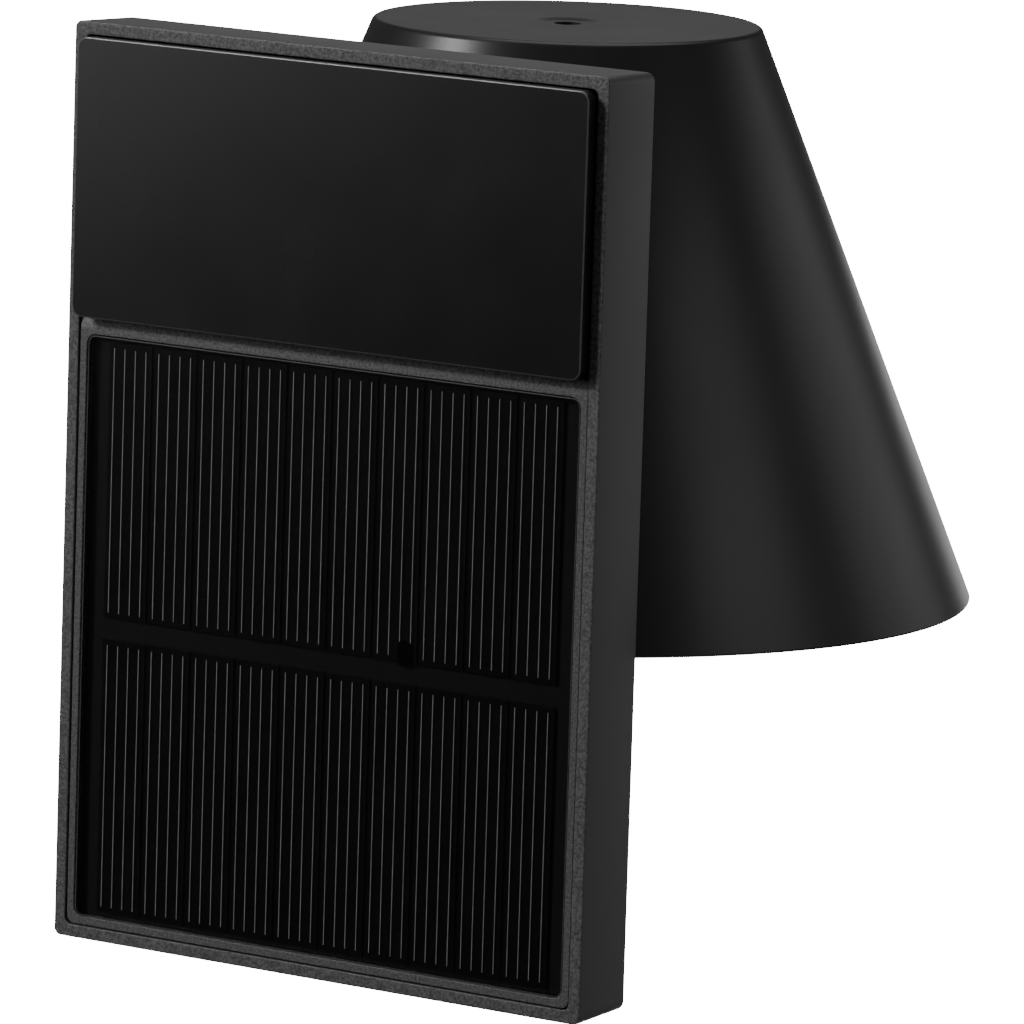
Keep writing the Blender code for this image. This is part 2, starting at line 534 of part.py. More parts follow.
def make_shade():
    """The conical shade: one moulded shell, cut flat and walled where it meets the
    housing, with a dished top, the button's guide, and bosses for its screws."""
    place = (0.0, SHADE_AXIS_Y, 0.0)
    edge = []
    for step in range(4):
        angle = math.radians(30.0 * step)
        edge.append((SHADE_TOP_RADIUS - SHADE_EDGE * (1.0 - math.cos(angle)),
                     SHADE_TOP - SHADE_EDGE * (1.0 - math.sin(angle))))
    outer = [(0.0, SHADE_BOTTOM), (SHADE_BOTTOM_RADIUS, SHADE_BOTTOM), *edge,
             (DISH_RADIUS, SHADE_TOP), (DISH_RADIUS - DISH_SLOPE, SHADE_TOP - DISH_DEPTH),
             (0.0, SHADE_TOP - DISH_DEPTH)]
    shade = turned("shade", outer, place, black_matte, 72)
    mouth = SHADE_BOTTOM - OVERCUT
    inner = [(0.0, mouth), (shade_radius(mouth) - WALL_ACROSS, mouth),
             (shade_radius(CEILING) - WALL_ACROSS, CEILING), (0.0, CEILING)]
    hollow = turned("shade_hollow", inner, place, None, 72)
    span = 4 * SHADE_BOTTOM_RADIUS
    wall_back = SHADE_FLAT + SHADE_BACK_WALL
    cut(hollow, block("back_wall_keeper", (span, span, span),
                      (-span / 2, wall_back - span, SHADE_BOTTOM - span / 2), None))
    cut(shade, hollow)
    guide_radius = BUTTON_COLLAR + CLEARANCE + GUIDE_WALL
    join(shade, cylinder("button_guide", guide_radius, CEILING - GUIDE_HEIGHT,
                         CEILING + FUSE, place, None, "Z", 32))
    cut(shade, cylinder("collar_bore", BUTTON_COLLAR + CLEARANCE,
                        CEILING - GUIDE_HEIGHT - OVERCUT, CEILING, place, None, "Z", 32))
    cut(shade, cylinder("button_bore", BUTTON_RADIUS + CLEARANCE, CEILING - OVERCUT,
                        SHADE_TOP + OVERCUT, place, None, "Z", 32))
    for i, (x, y) in enumerate(holder_screw_places()):
        join(shade, cylinder(f"holder_boss_{i}", BOSS_RADIUS, HOLDER_TOP + CLEARANCE,
                             CEILING + FUSE, (x, y, 0.0), None, "Z"))
        cut(shade, cylinder(f"holder_pilot_{i}", SCREW_HOLE, HOLDER_TOP - OVERCUT,
                            CEILING - PILOT_CAP, (x, y, 0.0), None, "Z"))
    for i, (x, z) in enumerate(shade_screw_places()):
        end = WALL_FRONT - CLEARANCE + SHADE_SCREW_LENGTH + CLEARANCE
        join(shade, cylinder(f"shade_boss_{i}", BOSS_RADIUS, wall_back - FUSE,
                             end + BOSS_WALL, (x, 0.0, z), None))
        cut(shade, cylinder(f"shade_pilot_{i}", SCREW_HOLE, 0.0, end, (x, 0.0, z), None))
    cut(shade, cylinder("shade_lead_hole", GROMMET_NECK + CLEARANCE, 0.0,
                        wall_back + OVERCUT, (0.0, 0.0, LEAD_HOLE_Z), None))
    seal_pocket = SHADE_FLAT + SEAL_THICKNESS + CLEARANCE
    cut(shade, cylinder("seal_pocket", GROMMET_NECK + 2 * CLEARANCE + SEAL_WIDTH + CLEARANCE,
                        0.0, seal_pocket, (0.0, 0.0, LEAD_HOLE_Z), None))
    cut(shade, block("housing_side", (span, span, span),
                     (-span / 2, SHADE_FLAT - span, SHADE_BOTTOM - span / 2), None))


def make_lead_seals():
    """The rubber grommet where the lead passes both walls, and the washer round it."""
    place = (0.0, 0.0, LEAD_HOLE_Z)
    front = WALL_FRONT - CLEARANCE
    end = SHADE_FLAT + SHADE_BACK_WALL + GROMMET_TAIL
    bore = LEAD_RADIUS + CLEARANCE
    lip = front - GROMMET_FLANGE_THICKNESS
    profile = [(bore, lip), (GROMMET_FLANGE, lip), (GROMMET_FLANGE, front),
               (GROMMET_NECK, front), (GROMMET_NECK, end), (bore, end)]
    turned("cable_grommet", profile, place, rubber, 24, "Y")
    inner = GROMMET_NECK + 2 * CLEARANCE
    back = SHADE_FLAT + SEAL_THICKNESS
    washer = [(inner, SHADE_FLAT), (inner + SEAL_WIDTH, SHADE_FLAT),
              (inner + SEAL_WIDTH, back), (inner, back)]
    turned("lead_seal", washer, place, rubber, 24, "Y")


def make_lamp_holder():
    """The cup under the shade's top, its diffuser and the ring that holds it."""
    place = (0.0, SHADE_AXIS_Y, 0.0)
    inside = HOLDER_RADIUS - HOLDER_WALL
    profile = [(0.0, HOLDER_TOP), (HOLDER_RADIUS, HOLDER_TOP), (HOLDER_RADIUS, HOLDER_BOTTOM),
               (inside, HOLDER_BOTTOM), (inside, HOLDER_TOP - HOLDER_WALL),
               (0.0, HOLDER_TOP - HOLDER_WALL)]
    holder = turned("lamp_holder", profile, place, white_plastic, 48)
    for i, (x, y) in enumerate(holder_screw_places()):
        cut(holder, cylinder(f"holder_hole_{i}", SCREW_HOLE, LED_BOARD_TOP,
                             HOLDER_TOP + OVERCUT, (x, y, 0.0), None, "Z"))
    slot_width = LINK_WIDTH + 2 * LINK_ROOM
    slot_depth = LINK_THICKNESS + 2 * LINK_ROOM
    cut(holder, block("link_slot", (slot_width, slot_depth, HOLDER_WALL + 2 * OVERCUT),
                      (-slot_width / 2, SHADE_AXIS_Y - LINK_REACH - LINK_ROOM,
                       HOLDER_TOP - HOLDER_WALL - OVERCUT), None))
    top = HOLDER_BOTTOM - CLEARANCE
    low = top - DIFFUSER_THICKNESS
    cylinder("diffuser", HOLDER_RADIUS, low, top, place, opal, "Z", 48)
    grip = HOLDER_RADIUS + CLEARANCE
    lip_top = low - CLEARANCE
    lip_low = lip_top - RING_WALL
    ring = [(grip - RING_LIP, lip_low), (grip + RING_WALL, lip_low),
            (grip + RING_WALL, HOLDER_BOTTOM + RING_GRIP), (grip, HOLDER_BOTTOM + RING_GRIP),
            (grip, lip_top), (grip - RING_LIP, lip_top)]
    turned("diffuser_ring", ring, place, black_satin, 48)


def make_lamp():
    """The light engine: the LED board and its LEDs, the switch board and its link."""
    place = (0.0, SHADE_AXIS_Y, 0.0)
    board = cylinder("led_board", LED_BOARD_RADIUS, LED_BOARD_BOTTOM, LED_BOARD_TOP, place,
                     white_board, "Z", 48)
    for i, (x, y) in enumerate(holder_screw_places()):
        cut(board, cylinder(f"led_board_hole_{i}", SCREW_HOLE, LED_BOARD_BOTTOM - OVERCUT,
                            LED_BOARD_TOP + OVERCUT, (x, y, 0.0), None, "Z"))
    for i in range(LED_COUNT):
        angle = 2.0 * math.pi * (i + 0.5) / LED_COUNT
        x = LED_CIRCLE * math.cos(angle)
        y = SHADE_AXIS_Y + LED_CIRCLE * math.sin(angle)
        low = LED_BOARD_BOTTOM - CLEARANCE - LED_HEIGHT
        block(f"led_{i + 1}", (LED_SIZE, LED_SIZE, LED_HEIGHT),
              (x - LED_SIZE / 2, y - LED_SIZE / 2, low), led_yellow)
    board_low = HOLDER_TOP + CLEARANCE
    board_top = board_low + SWITCH_BOARD_THICKNESS
    block("switch_board", (SWITCH_BOARD_WIDTH, SWITCH_BOARD_LENGTH, SWITCH_BOARD_THICKNESS),
          (-SWITCH_BOARD_WIDTH / 2, SHADE_AXIS_Y - SWITCH_BOARD_REACH, board_low),
          green_board)
    link_low = LED_BOARD_TOP + CLEARANCE
    block("board_link", (LINK_WIDTH, LINK_THICKNESS, board_low - CLEARANCE - link_low),
          (-LINK_WIDTH / 2, SHADE_AXIS_Y - LINK_REACH, link_low), black_satin)
    stem_top = COLLAR_TOP - COLLAR_THICKNESS - BUTTON_TRAVEL - CLEARANCE
    body_top = stem_top - SWITCH_STEM_HEIGHT
    body_low = board_top + CLEARANCE
    profile = [(0.0, body_low), (SWITCH_RADIUS, body_low), (SWITCH_RADIUS, body_top),
               (SWITCH_STEM, body_top), (SWITCH_STEM, stem_top), (0.0, stem_top)]
    turned("button_switch", profile, place, black_satin, 24)


def make_button():
    """The push button in the middle of the shade's top, its origin on its axis."""
    head = SHADE_TOP - DISH_DEPTH - BUTTON_SUNK
    place = (0.0, SHADE_AXIS_Y, head)
    collar_top = COLLAR_TOP - head
    collar_low = collar_top - COLLAR_THICKNESS
    profile = [(0.0, collar_low), (BUTTON_COLLAR, collar_low), (BUTTON_COLLAR, collar_top),
               (BUTTON_RADIUS, collar_top), (BUTTON_RADIUS, -BUTTON_CHAMFER),
               (BUTTON_RADIUS - BUTTON_CHAMFER, 0.0), (0.0, 0.0)]
    turned("power_button", profile, place, black_satin, 32)


def make_leads():
    """The three leads, from the solar board, the battery and the main board."""
    board_low = MAIN_BOARD_MIDDLE - MAIN_BOARD_HEIGHT / 2
    board_front = WALL_FRONT - MAIN_BOARD_STAND_OFF - CLEARANCE - BOARD_THICKNESS
    board_middle = board_front + BOARD_THICKNESS / 2
    end = board_low - CLEARANCE
    start = SOLAR_BOARD_BACK + CLEARANCE
    x = SOLAR_LEAD_X
    tube("solar_lead", [(x, start, end - 16.3), (x, start + 2.2, end - 15.9),
                        (x, board_front - 0.5, end - 13.3),
                        (x, board_front - 0.2, end - 7.3), (x, board_middle, end)],
         THIN_LEAD_RADIUS, red_lead)
    battery_y = WALL_FRONT - 2.9
    low = BATTERY_MIDDLE + BATTERY_HEIGHT / 2 + CLEARANCE
    x = BATTERY_LEAD_X
    tube("battery_lead", [(x, battery_y, low), (x, battery_y, low + 3.7),
                          (x + 3, battery_y - 0.2, low + 18.7),
                          (x + 2, battery_y - 0.2, end - 21.3),
                          (x, board_middle - 0.2, end - 7.3), (x, board_middle, end)],
         THIN_LEAD_RADIUS, red_lead)
    hole = LEAD_HOLE_Z
    cup_side = SHADE_AXIS_Y - HOLDER_RADIUS
    over = HOLDER_TOP + CLEARANCE
    tube("lamp_lead", [(0, board_middle, end), (0, board_middle, end - 9.3),
                       (0, board_front + 0.2, hole + 10), (0, board_front - 0.2, hole + 4),
                       (0, board_front + 0.6, hole + 0.9), (0, board_front + 2.2, hole),
                       (0, WALL_FRONT + 0.5, hole), (0, SHADE_FLAT + 2.2, hole),
                       lead_place(hole, 2.7), lead_place(hole + 1.4, 5.1),
                       lead_place(hole + 6, 6.5), lead_place(hole + 14, 8.1),
                       lead_place(hole + 23, 10.2), lead_place(over - 25.3, 7.8),
                       lead_place(over - 10.3, 5.5), lead_place(over - 1.8, 4.2),
                       (0, cup_side + 1, over + 2.7), (0, cup_side + 6, over + 2.9),
                       (0, SHADE_AXIS_Y - SWITCH_BOARD_REACH - CLEARANCE, over + 1.3)],
         LEAD_RADIUS, black_lead)


for old in list(bpy.data.objects):
    bpy.data.objects.remove(old)

lamp_frame = bpy.data.objects.new("lamp_frame", None)
lamp_frame.location = Vector((0.0, PAD_PROUD, -PAD_MIDDLE)) * MM
bpy.context.scene.collection.objects.link(lamp_frame)

black_satin = material("black_satin", (0.028, 0.028, 0.029), 0.45)
black_matte = material("black_matte", (0.022, 0.022, 0.023), 0.5)
black_gloss = material("black_gloss", (0.008, 0.008, 0.008), 0.08)
clear_cover = material("clear_cover", (0.02, 0.02, 0.022), 0.12)
silicon = material("silicon", (0.006, 0.006, 0.008), 0.3)
black_board = material("black_board", (0.01, 0.01, 0.01), 0.5)
green_board = material("green_board", (0.02, 0.12, 0.05), 0.5)
white_board = material("white_board", (0.8, 0.8, 0.78), 0.4)
white_plastic = material("white_plastic", (0.8, 0.8, 0.8), 0.4)
opal = material("opal", (0.85, 0.85, 0.82), 0.35)
led_yellow = material("led_yellow", (0.85, 0.65, 0.1), 0.4)
rubber = material("rubber", (0.02, 0.02, 0.02), 0.8)
grey_tape = material("grey_tape", (0.2, 0.2, 0.2), 0.9)
battery_foil = material("battery_foil", (0.55, 0.56, 0.58), 0.35, 0.8)
steel = material("steel", (0.55, 0.55, 0.56), 0.3, 1.0)
black_screw = material("black_screw", (0.03, 0.03, 0.03), 0.4, 0.6)
red_lead = material("red_lead", (0.35, 0.02, 0.02), 0.5)
black_lead = material("black_lead", (0.02, 0.02, 0.02), 0.5)

make_housing()
make_bezel()
make_pad()
make_solar_module()
make_screws()
make_electronics()
make_shade()
make_lead_seals()
make_lamp_holder()
make_lamp()
make_button()
make_leads()
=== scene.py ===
"""The looks of a solar window lamp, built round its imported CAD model.

A flat black housing carries solar cells behind a clear cover and a polished pad plate
that sticks to a pane, and a conical down-light shade hangs on its back. Every mesh is
in metres in the CAD model's frame: X across, -Y towards the pane, Z up.
"""
import math

import bmesh
import bpy
from mathutils import Matrix, Vector, noise


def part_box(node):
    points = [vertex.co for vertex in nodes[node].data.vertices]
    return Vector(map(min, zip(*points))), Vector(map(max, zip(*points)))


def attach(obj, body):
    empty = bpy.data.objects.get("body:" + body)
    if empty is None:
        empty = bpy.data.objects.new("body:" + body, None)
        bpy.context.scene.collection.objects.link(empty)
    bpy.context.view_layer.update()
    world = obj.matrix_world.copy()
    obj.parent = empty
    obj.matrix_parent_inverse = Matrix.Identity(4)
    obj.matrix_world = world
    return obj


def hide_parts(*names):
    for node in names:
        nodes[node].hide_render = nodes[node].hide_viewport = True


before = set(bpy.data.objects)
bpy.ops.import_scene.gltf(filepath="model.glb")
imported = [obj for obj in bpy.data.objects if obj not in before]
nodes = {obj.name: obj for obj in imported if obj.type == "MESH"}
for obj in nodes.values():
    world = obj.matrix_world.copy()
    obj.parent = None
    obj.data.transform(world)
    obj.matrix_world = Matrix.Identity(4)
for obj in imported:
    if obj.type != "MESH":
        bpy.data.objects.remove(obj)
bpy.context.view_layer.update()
MM = 0.001


# The studio: a pale floor well below the lamp, a big soft box overhead, a small bright
# one at the front left, weak ones at the right, behind and below, and a card that the
# pad mirrors. The camera stands to the panel's right, a little above, with a long lens.
housing_low, housing_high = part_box("rear_housing")
panel_corner = Vector((0.0, housing_low.y, housing_low.z))


def new_finish(name):
    """A material, its node tree and its main shader."""
    finish = bpy.data.materials.new(name)
    finish.use_nodes = True
    return finish, finish.node_tree, finish.node_tree.nodes["Principled BSDF"]


floor_mesh = bpy.data.meshes.new("studio_floor")
floor_half = 12.0
floor_drop = 2.0
floor_z = housing_low.z - floor_drop
glow = 20.0
floor_mesh.from_pydata([(x * floor_half, y * floor_half, floor_z)
                        for x, y in ((-1, -1), (1, -1), (1, 1), (-1, 1))], [], [(0, 1, 2, 3)])
floor = bpy.data.objects.new("studio_floor", floor_mesh)
floor.visible_glossy = False
floor.visible_diffuse = False
bpy.context.scene.collection.objects.link(floor)
floor_paint, floor_tree, floor_shader = new_finish("floor_paint")
floor_shader.inputs["Base Color"].default_value = (0.9, 0.9, 0.9, 1.0)
floor_shader.inputs["Roughness"].default_value = 0.9
floor_shader.inputs["Emission Color"].default_value = (1.0, 1.0, 1.0, 1.0)
floor_shader.inputs["Emission Strength"].default_value = glow
floor_mesh.materials.append(floor_paint)

world = bpy.data.worlds.new("studio_world")
world.use_nodes = True
bpy.context.scene.world = world
world_nodes = world.node_tree.nodes
world_links = world.node_tree.links
seen = world_nodes.new("ShaderNodeBackground")
seen.inputs["Color"].default_value = (1.0, 1.0, 1.0, 1.0)
seen.inputs["Strength"].default_value = glow
felt = world_nodes["Background"]
felt.inputs["Color"].default_value = (1.0, 1.0, 1.0, 1.0)
felt.inputs["Strength"].default_value = 0.06
light_path = world_nodes.new("ShaderNodeLightPath")
world_mix = world_nodes.new("ShaderNodeMixShader")
world_links.new(light_path.outputs["Is Camera Ray"], world_mix.inputs["Fac"])
world_links.new(felt.outputs["Background"], world_mix.inputs[1])
world_links.new(seen.outputs["Background"], world_mix.inputs[2])
world_links.new(world_mix.outputs["Shader"], world_nodes["World Output"].inputs["Surface"])


def soft_box(name, place, aim, width, height, power, roll=0.0):
    """An area light at place that faces aim, rolled by an angle in degrees."""
    lamp = bpy.data.lights.new(name, "AREA")
    lamp.shape = "RECTANGLE"
    lamp.size = width
    lamp.size_y = height
    lamp.energy = power
    holder = bpy.data.objects.new(name, lamp)
    facing = (Vector(aim) - Vector(place)).to_track_quat("-Z", "Y").to_matrix().to_4x4()
    holder.matrix_world = (Matrix.Translation(place) @ facing
                           @ Matrix.Rotation(math.radians(roll), 4, "Z"))
    bpy.context.scene.collection.objects.link(holder)


soft_box("box_overhead", (0.0, 0.4, 2.2), (0.0, 0.05, 0.0), 2.4, 2.4, 24.0)
soft_box("box_key", (-0.96, -1.07, 0.8), (0.0, 0.0, 0.0), 0.35, 0.35, 15.0)
soft_box("box_rear_right", (0.9, 1.5, 0.1), (0.0, 0.05, 0.0), 1.2, 1.0, 2.1)
soft_box("box_right", (1.7, 0.1, 0.15), (0.0, 0.05, 0.0), 1.0, 1.2, 3.0)
soft_box("box_rear_left", (-1.2, 1.9, 0.6), (0.0, 0.05, 0.0), 0.7, 0.6, 0.35)
soft_box("box_rear_low", (-0.8, 1.8, -0.6), (0.0, 0.05, 0.0), 1.2, 1.0, 5.0)
soft_box("box_below", (0.1, 0.35, -1.3), (0.0, 0.06, 0.0), 0.8, 0.8, 6.0)
soft_box("pad_card", (-0.4, -0.4, 0.08), (-0.01, 0.0, 0.01), 0.28, 0.28, 0.38, roll=30.0)

camera_yaw = math.radians(33.897)
camera_pitch = math.radians(9.245)
camera_roll = math.radians(1.813)
camera_distance = 1.548
aim = panel_corner + Vector((38.27, 0.0, 85.42)) * MM
ahead = Vector((-math.sin(camera_yaw) * math.cos(camera_pitch),
                math.cos(camera_yaw) * math.cos(camera_pitch), -math.sin(camera_pitch)))
level = Vector((math.cos(camera_yaw), math.sin(camera_yaw), 0.0))
right = math.cos(camera_roll) * level + math.sin(camera_roll) * level.cross(ahead)
up = right.cross(ahead)
camera_data = bpy.data.cameras.new("camera")
camera_data.lens = 325.7
camera_data.sensor_width = 36.0
camera = bpy.data.objects.new("camera", camera_data)
camera.matrix_world = Matrix.Translation(aim - ahead * camera_distance) @ Matrix(
    (right, up, -ahead)).transposed().to_4x4()
bpy.context.scene.collection.objects.link(camera)
bpy.context.scene.camera = camera


# The rear housing: a moulded ABS tub, its sides drawn in towards the back, with a
# coarse spark-eroded grain on the rim, its high spots painted paler as highlights, and a
# fine satin one elsewhere. The corner screws sit in counterbores in its back.
def outline(width, height, radius, corner_steps=10, cuts=(1, 1)):
    """Points round a rectangle with round corners, as (x, z). cuts says how many
    pieces its level and its upright sides are divided into."""
    points = []
    straight = (width - 2 * radius, height - 2 * radius)
    for corner in range(4):
        side_x = (1, -1, -1, 1)[corner]
        side_z = (1, 1, -1, -1)[corner]
        for step in range(corner_steps):
            angle = math.radians(90.0 * (corner + step / corner_steps))
            points.append((side_x * (width / 2 - radius) + radius * math.cos(angle),
                           side_z * (height / 2 - radius) + radius * math.sin(angle)))
        angle = math.radians(90.0 * (corner + 1))
        start = Vector((side_x * (width / 2 - radius) + radius * math.cos(angle),
                        side_z * (height / 2 - radius) + radius * math.sin(angle)))
        length = straight[corner % 2]
        along = Vector((math.cos(angle + math.pi / 2), math.sin(angle + math.pi / 2)))
        for cut in range(cuts[corner % 2]):
            points.append(tuple(start + along * length * cut / cuts[corner % 2]))
    return points


def loft(rings, closed=False):
    """A closed bmesh over rings of points of one count, capped unless it's closed."""
    shape = bmesh.new()
    loops = [[shape.verts.new(point) for point in ring] for ring in rings]
    pairs = list(zip(loops, loops[1:]))
    if closed:
        pairs.append((loops[-1], loops[0]))
    for near, far in pairs:
        for i in range(len(near)):
            j = (i + 1) % len(near)
            shape.faces.new((near[i], near[j], far[j], far[i]))
    if not closed:
        shape.faces.new(loops[0])
        shape.faces.new(reversed(loops[-1]))
    bmesh.ops.recalc_face_normals(shape, faces=shape.faces)
    return shape


def smooth_sides(mesh):
    """Smooths a mesh but for its creases and its caps, the faces with many corners."""
    mesh.shade_smooth()
    mesh.set_sharp_from_angle(angle=math.radians(35.0))
    for face in mesh.polygons:
        if len(face.vertices) > 4:
            face.use_smooth = False


def add_mesh(name, shape, *finishes):
    """An object at the origin from a bmesh in metres."""
    mesh = bpy.data.meshes.new(name)
    shape.to_mesh(mesh)
    shape.free()
    smooth_sides(mesh)
    made = bpy.data.objects.new(name, mesh)
    for finish in finishes:
        mesh.materials.append(finish)
    bpy.context.scene.collection.objects.link(made)
    return made


def turned(profile, centre, steps=64, axis="Z"):
    """A bmesh of (radius, height) points turned about an axis through centre."""
    solid = profile[0][0] == 0.0
    rings = []
    for radius, height in profile[1:-1] if solid else profile:
        ring = []
        for step in range(steps):
            angle = 2.0 * math.pi * step / steps
            across = (radius * math.cos(angle), radius * math.sin(angle))
            point = (*across, height) if axis == "Z" else (across[0], height, across[1])
            ring.append(Vector(centre) + Vector(point))
        rings.append(ring)
    return loft(rings, closed=not solid)


def carve(piece, tools, operation="DIFFERENCE"):
    """Cuts the tools out of a piece, or joins them on, and removes them."""
    for tool in tools:
        change = piece.modifiers.new("carve", "BOOLEAN")
        change.operation = operation
        change.object = tool
    graph = bpy.context.evaluated_depsgraph_get()
    mesh = bpy.data.meshes.new_from_object(piece.evaluated_get(graph))
    piece.modifiers.clear()
    piece.data = mesh
    smooth_sides(mesh)
    for tool in tools:
        bpy.data.objects.remove(tool)


def drum(name, radius, start, end, centre, axis="Y", steps=48):
    """A plain round tool for carve, from start to end along its axis."""
    profile = [(0.0, start), (radius, start), (radius, end), (0.0, end)]
    return add_mesh(name, turned(profile, centre, steps, axis))


def middle_of(node):
    """The middle of a CAD node's box."""
    low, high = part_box(node)
    return (low + high) / 2


def mottled(tree, scale, detail):
    """A noise texture on object coordinates."""
    place = tree.nodes.new("ShaderNodeTexCoord")
    texture = tree.nodes.new("ShaderNodeTexNoise")
    texture.inputs["Scale"].default_value = scale
    texture.inputs["Detail"].default_value = detail
    tree.links.new(place.outputs["Object"], texture.inputs["Vector"])
    return texture


def uneven_gloss(tree, shader, scale, detail, low, high):
    """Drifts a shader's roughness between two values."""
    rough = tree.nodes.new("ShaderNodeMapRange")
    rough.inputs["To Min"].default_value = low
    rough.inputs["To Max"].default_value = high
    tree.links.new(mottled(tree, scale, detail).outputs["Fac"], rough.inputs["Value"])
    tree.links.new(rough.outputs["Result"], shader.inputs["Roughness"])


def moulded(name, colour, roughness, grain, depth, fleck_and_glint=0.0):
    """Moulded plastic: grain is the size of its texture in metres, depth its height,
    and the last argument how much paler its high spots and darker its low spots are:
    partly the plastic's own tone, partly a painted highlight on the high spots and
    painted shade in the low ones."""
    finish, tree, shader = new_finish(name)
    texture = mottled(tree, 1.0 / grain, 3.0)
    uneven_gloss(tree, shader, 45.0, 2.0, roughness - 0.05, roughness + 0.05)
    tone_and_glint_mix = tree.nodes.new("ShaderNodeMix")
    tone_and_glint_mix.data_type = "RGBA"
    # The paler high spots are partly painted highlight, the darker low spots partly painted shade.
    paler_tone_and_glint = tuple(channel * (1.0 + fleck_and_glint) for channel in colour)
    darker_tone_and_shade = tuple(channel * (1.0 - 0.4 * fleck_and_glint) for channel in colour)
    tone_and_glint_mix.inputs["A"].default_value = (*darker_tone_and_shade, 1.0)
    tone_and_glint_mix.inputs["B"].default_value = (*paler_tone_and_glint, 1.0)
    glint_and_tone_share = tree.nodes.new("ShaderNodeMapRange")
    glint_and_tone_share.inputs["From Min"].default_value = 0.35
    glint_and_tone_share.inputs["From Max"].default_value = 0.65
    tree.links.new(texture.outputs["Fac"], glint_and_tone_share.inputs["Value"])
    tree.links.new(glint_and_tone_share.outputs["Result"], tone_and_glint_mix.inputs["Factor"])
    tree.links.new(tone_and_glint_mix.outputs["Result"], shader.inputs["Base Color"])
    bump = tree.nodes.new("ShaderNodeBump")
    bump.inputs["Distance"].default_value = depth
    bump.inputs["Strength"].default_value = 1.0
    tree.links.new(texture.outputs["Fac"], bump.inputs["Height"])
    tree.links.new(bump.outputs["Normal"], shader.inputs["Normal"])
    return finish


housing_satin = moulded("housing_satin", (0.074, 0.074, 0.075), 0.42, 0.12 * MM, 0.004 * MM)
# The rim's grain has strong pale flecks on its high spots: painted highlights where the grain would
# catch the light, with painted shade in its low spots.
rim_grain_and_glint = moulded("rim_grain_and_glint", (0.084, 0.084, 0.085), 0.5, 0.45 * MM, 0.09 * MM, 0.8)

panel_width = (housing_high.x - housing_low.x) / MM
panel_height = (housing_high.z - housing_low.z) / MM
panel_depth = (housing_high.y - housing_low.y) / MM
housing_draft = 0.4
rim_width = 2.25
front_corner = 1.3
back_corner = 1.5
pocket_floor = panel_depth - 2.0
inner_edge = 0.15
outer_edge = 0.2
back_edge = 0.5
# Each stop of the section is (inset from the outline, depth behind the rim, corner).
section = [(rim_width, pocket_floor, front_corner), (rim_width, inner_edge, front_corner)]
for step in range(1, 4):
    turn = math.radians(30.0 * step)
    section.append((rim_width - inner_edge * (1 - math.cos(turn)),
                    inner_edge * (1 - math.sin(turn)), front_corner))
for step in range(1, 6):
    flat = rim_width - inner_edge - outer_edge
    section.append((rim_width - inner_edge - flat * step / 6, 0.0, front_corner))
for step in range(4):
    turn = math.radians(30.0 * step)
    section.append((outer_edge * (1 - math.sin(turn)), outer_edge * (1 - math.cos(turn)),
                    front_corner))
for step in range(7):
    turn = math.radians(15.0 * step)
    inset = housing_draft + back_edge * (1 - math.cos(turn))
    section.append((inset, panel_depth - back_edge * (1 - math.sin(turn)), back_corner))
rings = []
panel_middle = (housing_low.z + housing_high.z) / 2
grain_spacing = 0.4
grain_cuts = (round(panel_width / grain_spacing), round(panel_height / grain_spacing))
for inset, depth, corner in section:
    ring = []
    for x, z in outline(panel_width - 2 * inset, panel_height - 2 * inset, corner,
                        cuts=grain_cuts):
        lift = 0.0
        if depth < 0.01:
            spot = Vector((x, 0.0, z))
            lift = 0.035 * noise.noise(spot * 2.6) + 0.02 * noise.noise(spot * 5.5)
        ring.append((x * MM, housing_low.y + (depth + lift) * MM, panel_middle + z * MM))
    rings.append(ring)
housing = add_mesh("housing_shell", loft(rings), housing_satin, rim_grain_and_glint)
lead_hole_radius = 3.1 * MM
screw_hole_radius = 1.4 * MM
tools = []
for number in range(1, 5):
    screw_low, screw_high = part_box(f"housing_screw_{number}")
    centre = Vector((middle_of(f"housing_screw_{number}").x, 0.0,
                     middle_of(f"housing_screw_{number}").z))
    seat = screw_high.y - 1.5 * MM
    tools.append(drum("counterbore", 2.9 * MM, seat, 0.1, centre))
    tools.append(drum("shank_hole", screw_hole_radius, 0.0, 0.1, centre))
for number in range(1, 5):
    spot = middle_of(f"shade_screw_{number}")
    tools.append(drum("shade_screw_hole", screw_hole_radius, housing_low.y + 9.0 * MM, 0.1,
                      (spot.x, 0.0, spot.z)))
lead_hole = middle_of("lead_seal")
tools.append(drum("lead_hole", lead_hole_radius, 0.0, 0.1, (lead_hole.x, 0.0, lead_hole.z)))
carve(housing, tools)
for face in housing.data.polygons:
    face.material_index = 1 if face.center.y < housing_low.y + 0.1 * MM else 0
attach(housing, "lamp")
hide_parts("rear_housing")


# The front bezel: a deep frame dropped into the tub behind a thin parting line. It
# shows as a narrow grained band round the solar window and as the bar under the pad.
bezel_low, bezel_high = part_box("front_bezel")
cover_low, cover_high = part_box("solar_cover")
pad_low, pad_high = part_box("pad_plate")
tape_low, tape_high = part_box("panel_tape")


def slab(width, height, middle, stops, corner_steps=10):
    """A bmesh across Y, centred on middle (x, z). A stop is (y, inset, corner)."""
    rings = []
    for y, inset, corner in stops:
        points = outline(width - 2 * inset, height - 2 * inset, corner, corner_steps)
        rings.append([(middle[0] + x, y, middle[1] + z) for x, z in points])
    return loft(rings)


def across(low, high):
    """Width, height and (x, z) middle of a box."""
    return high.x - low.x, high.z - low.z, ((low.x + high.x) / 2, (low.z + high.z) / 2)


width, height, middle = across(bezel_low, bezel_high)
edge = 0.15 * MM
bezel_back = bezel_low.y + 7.2 * MM
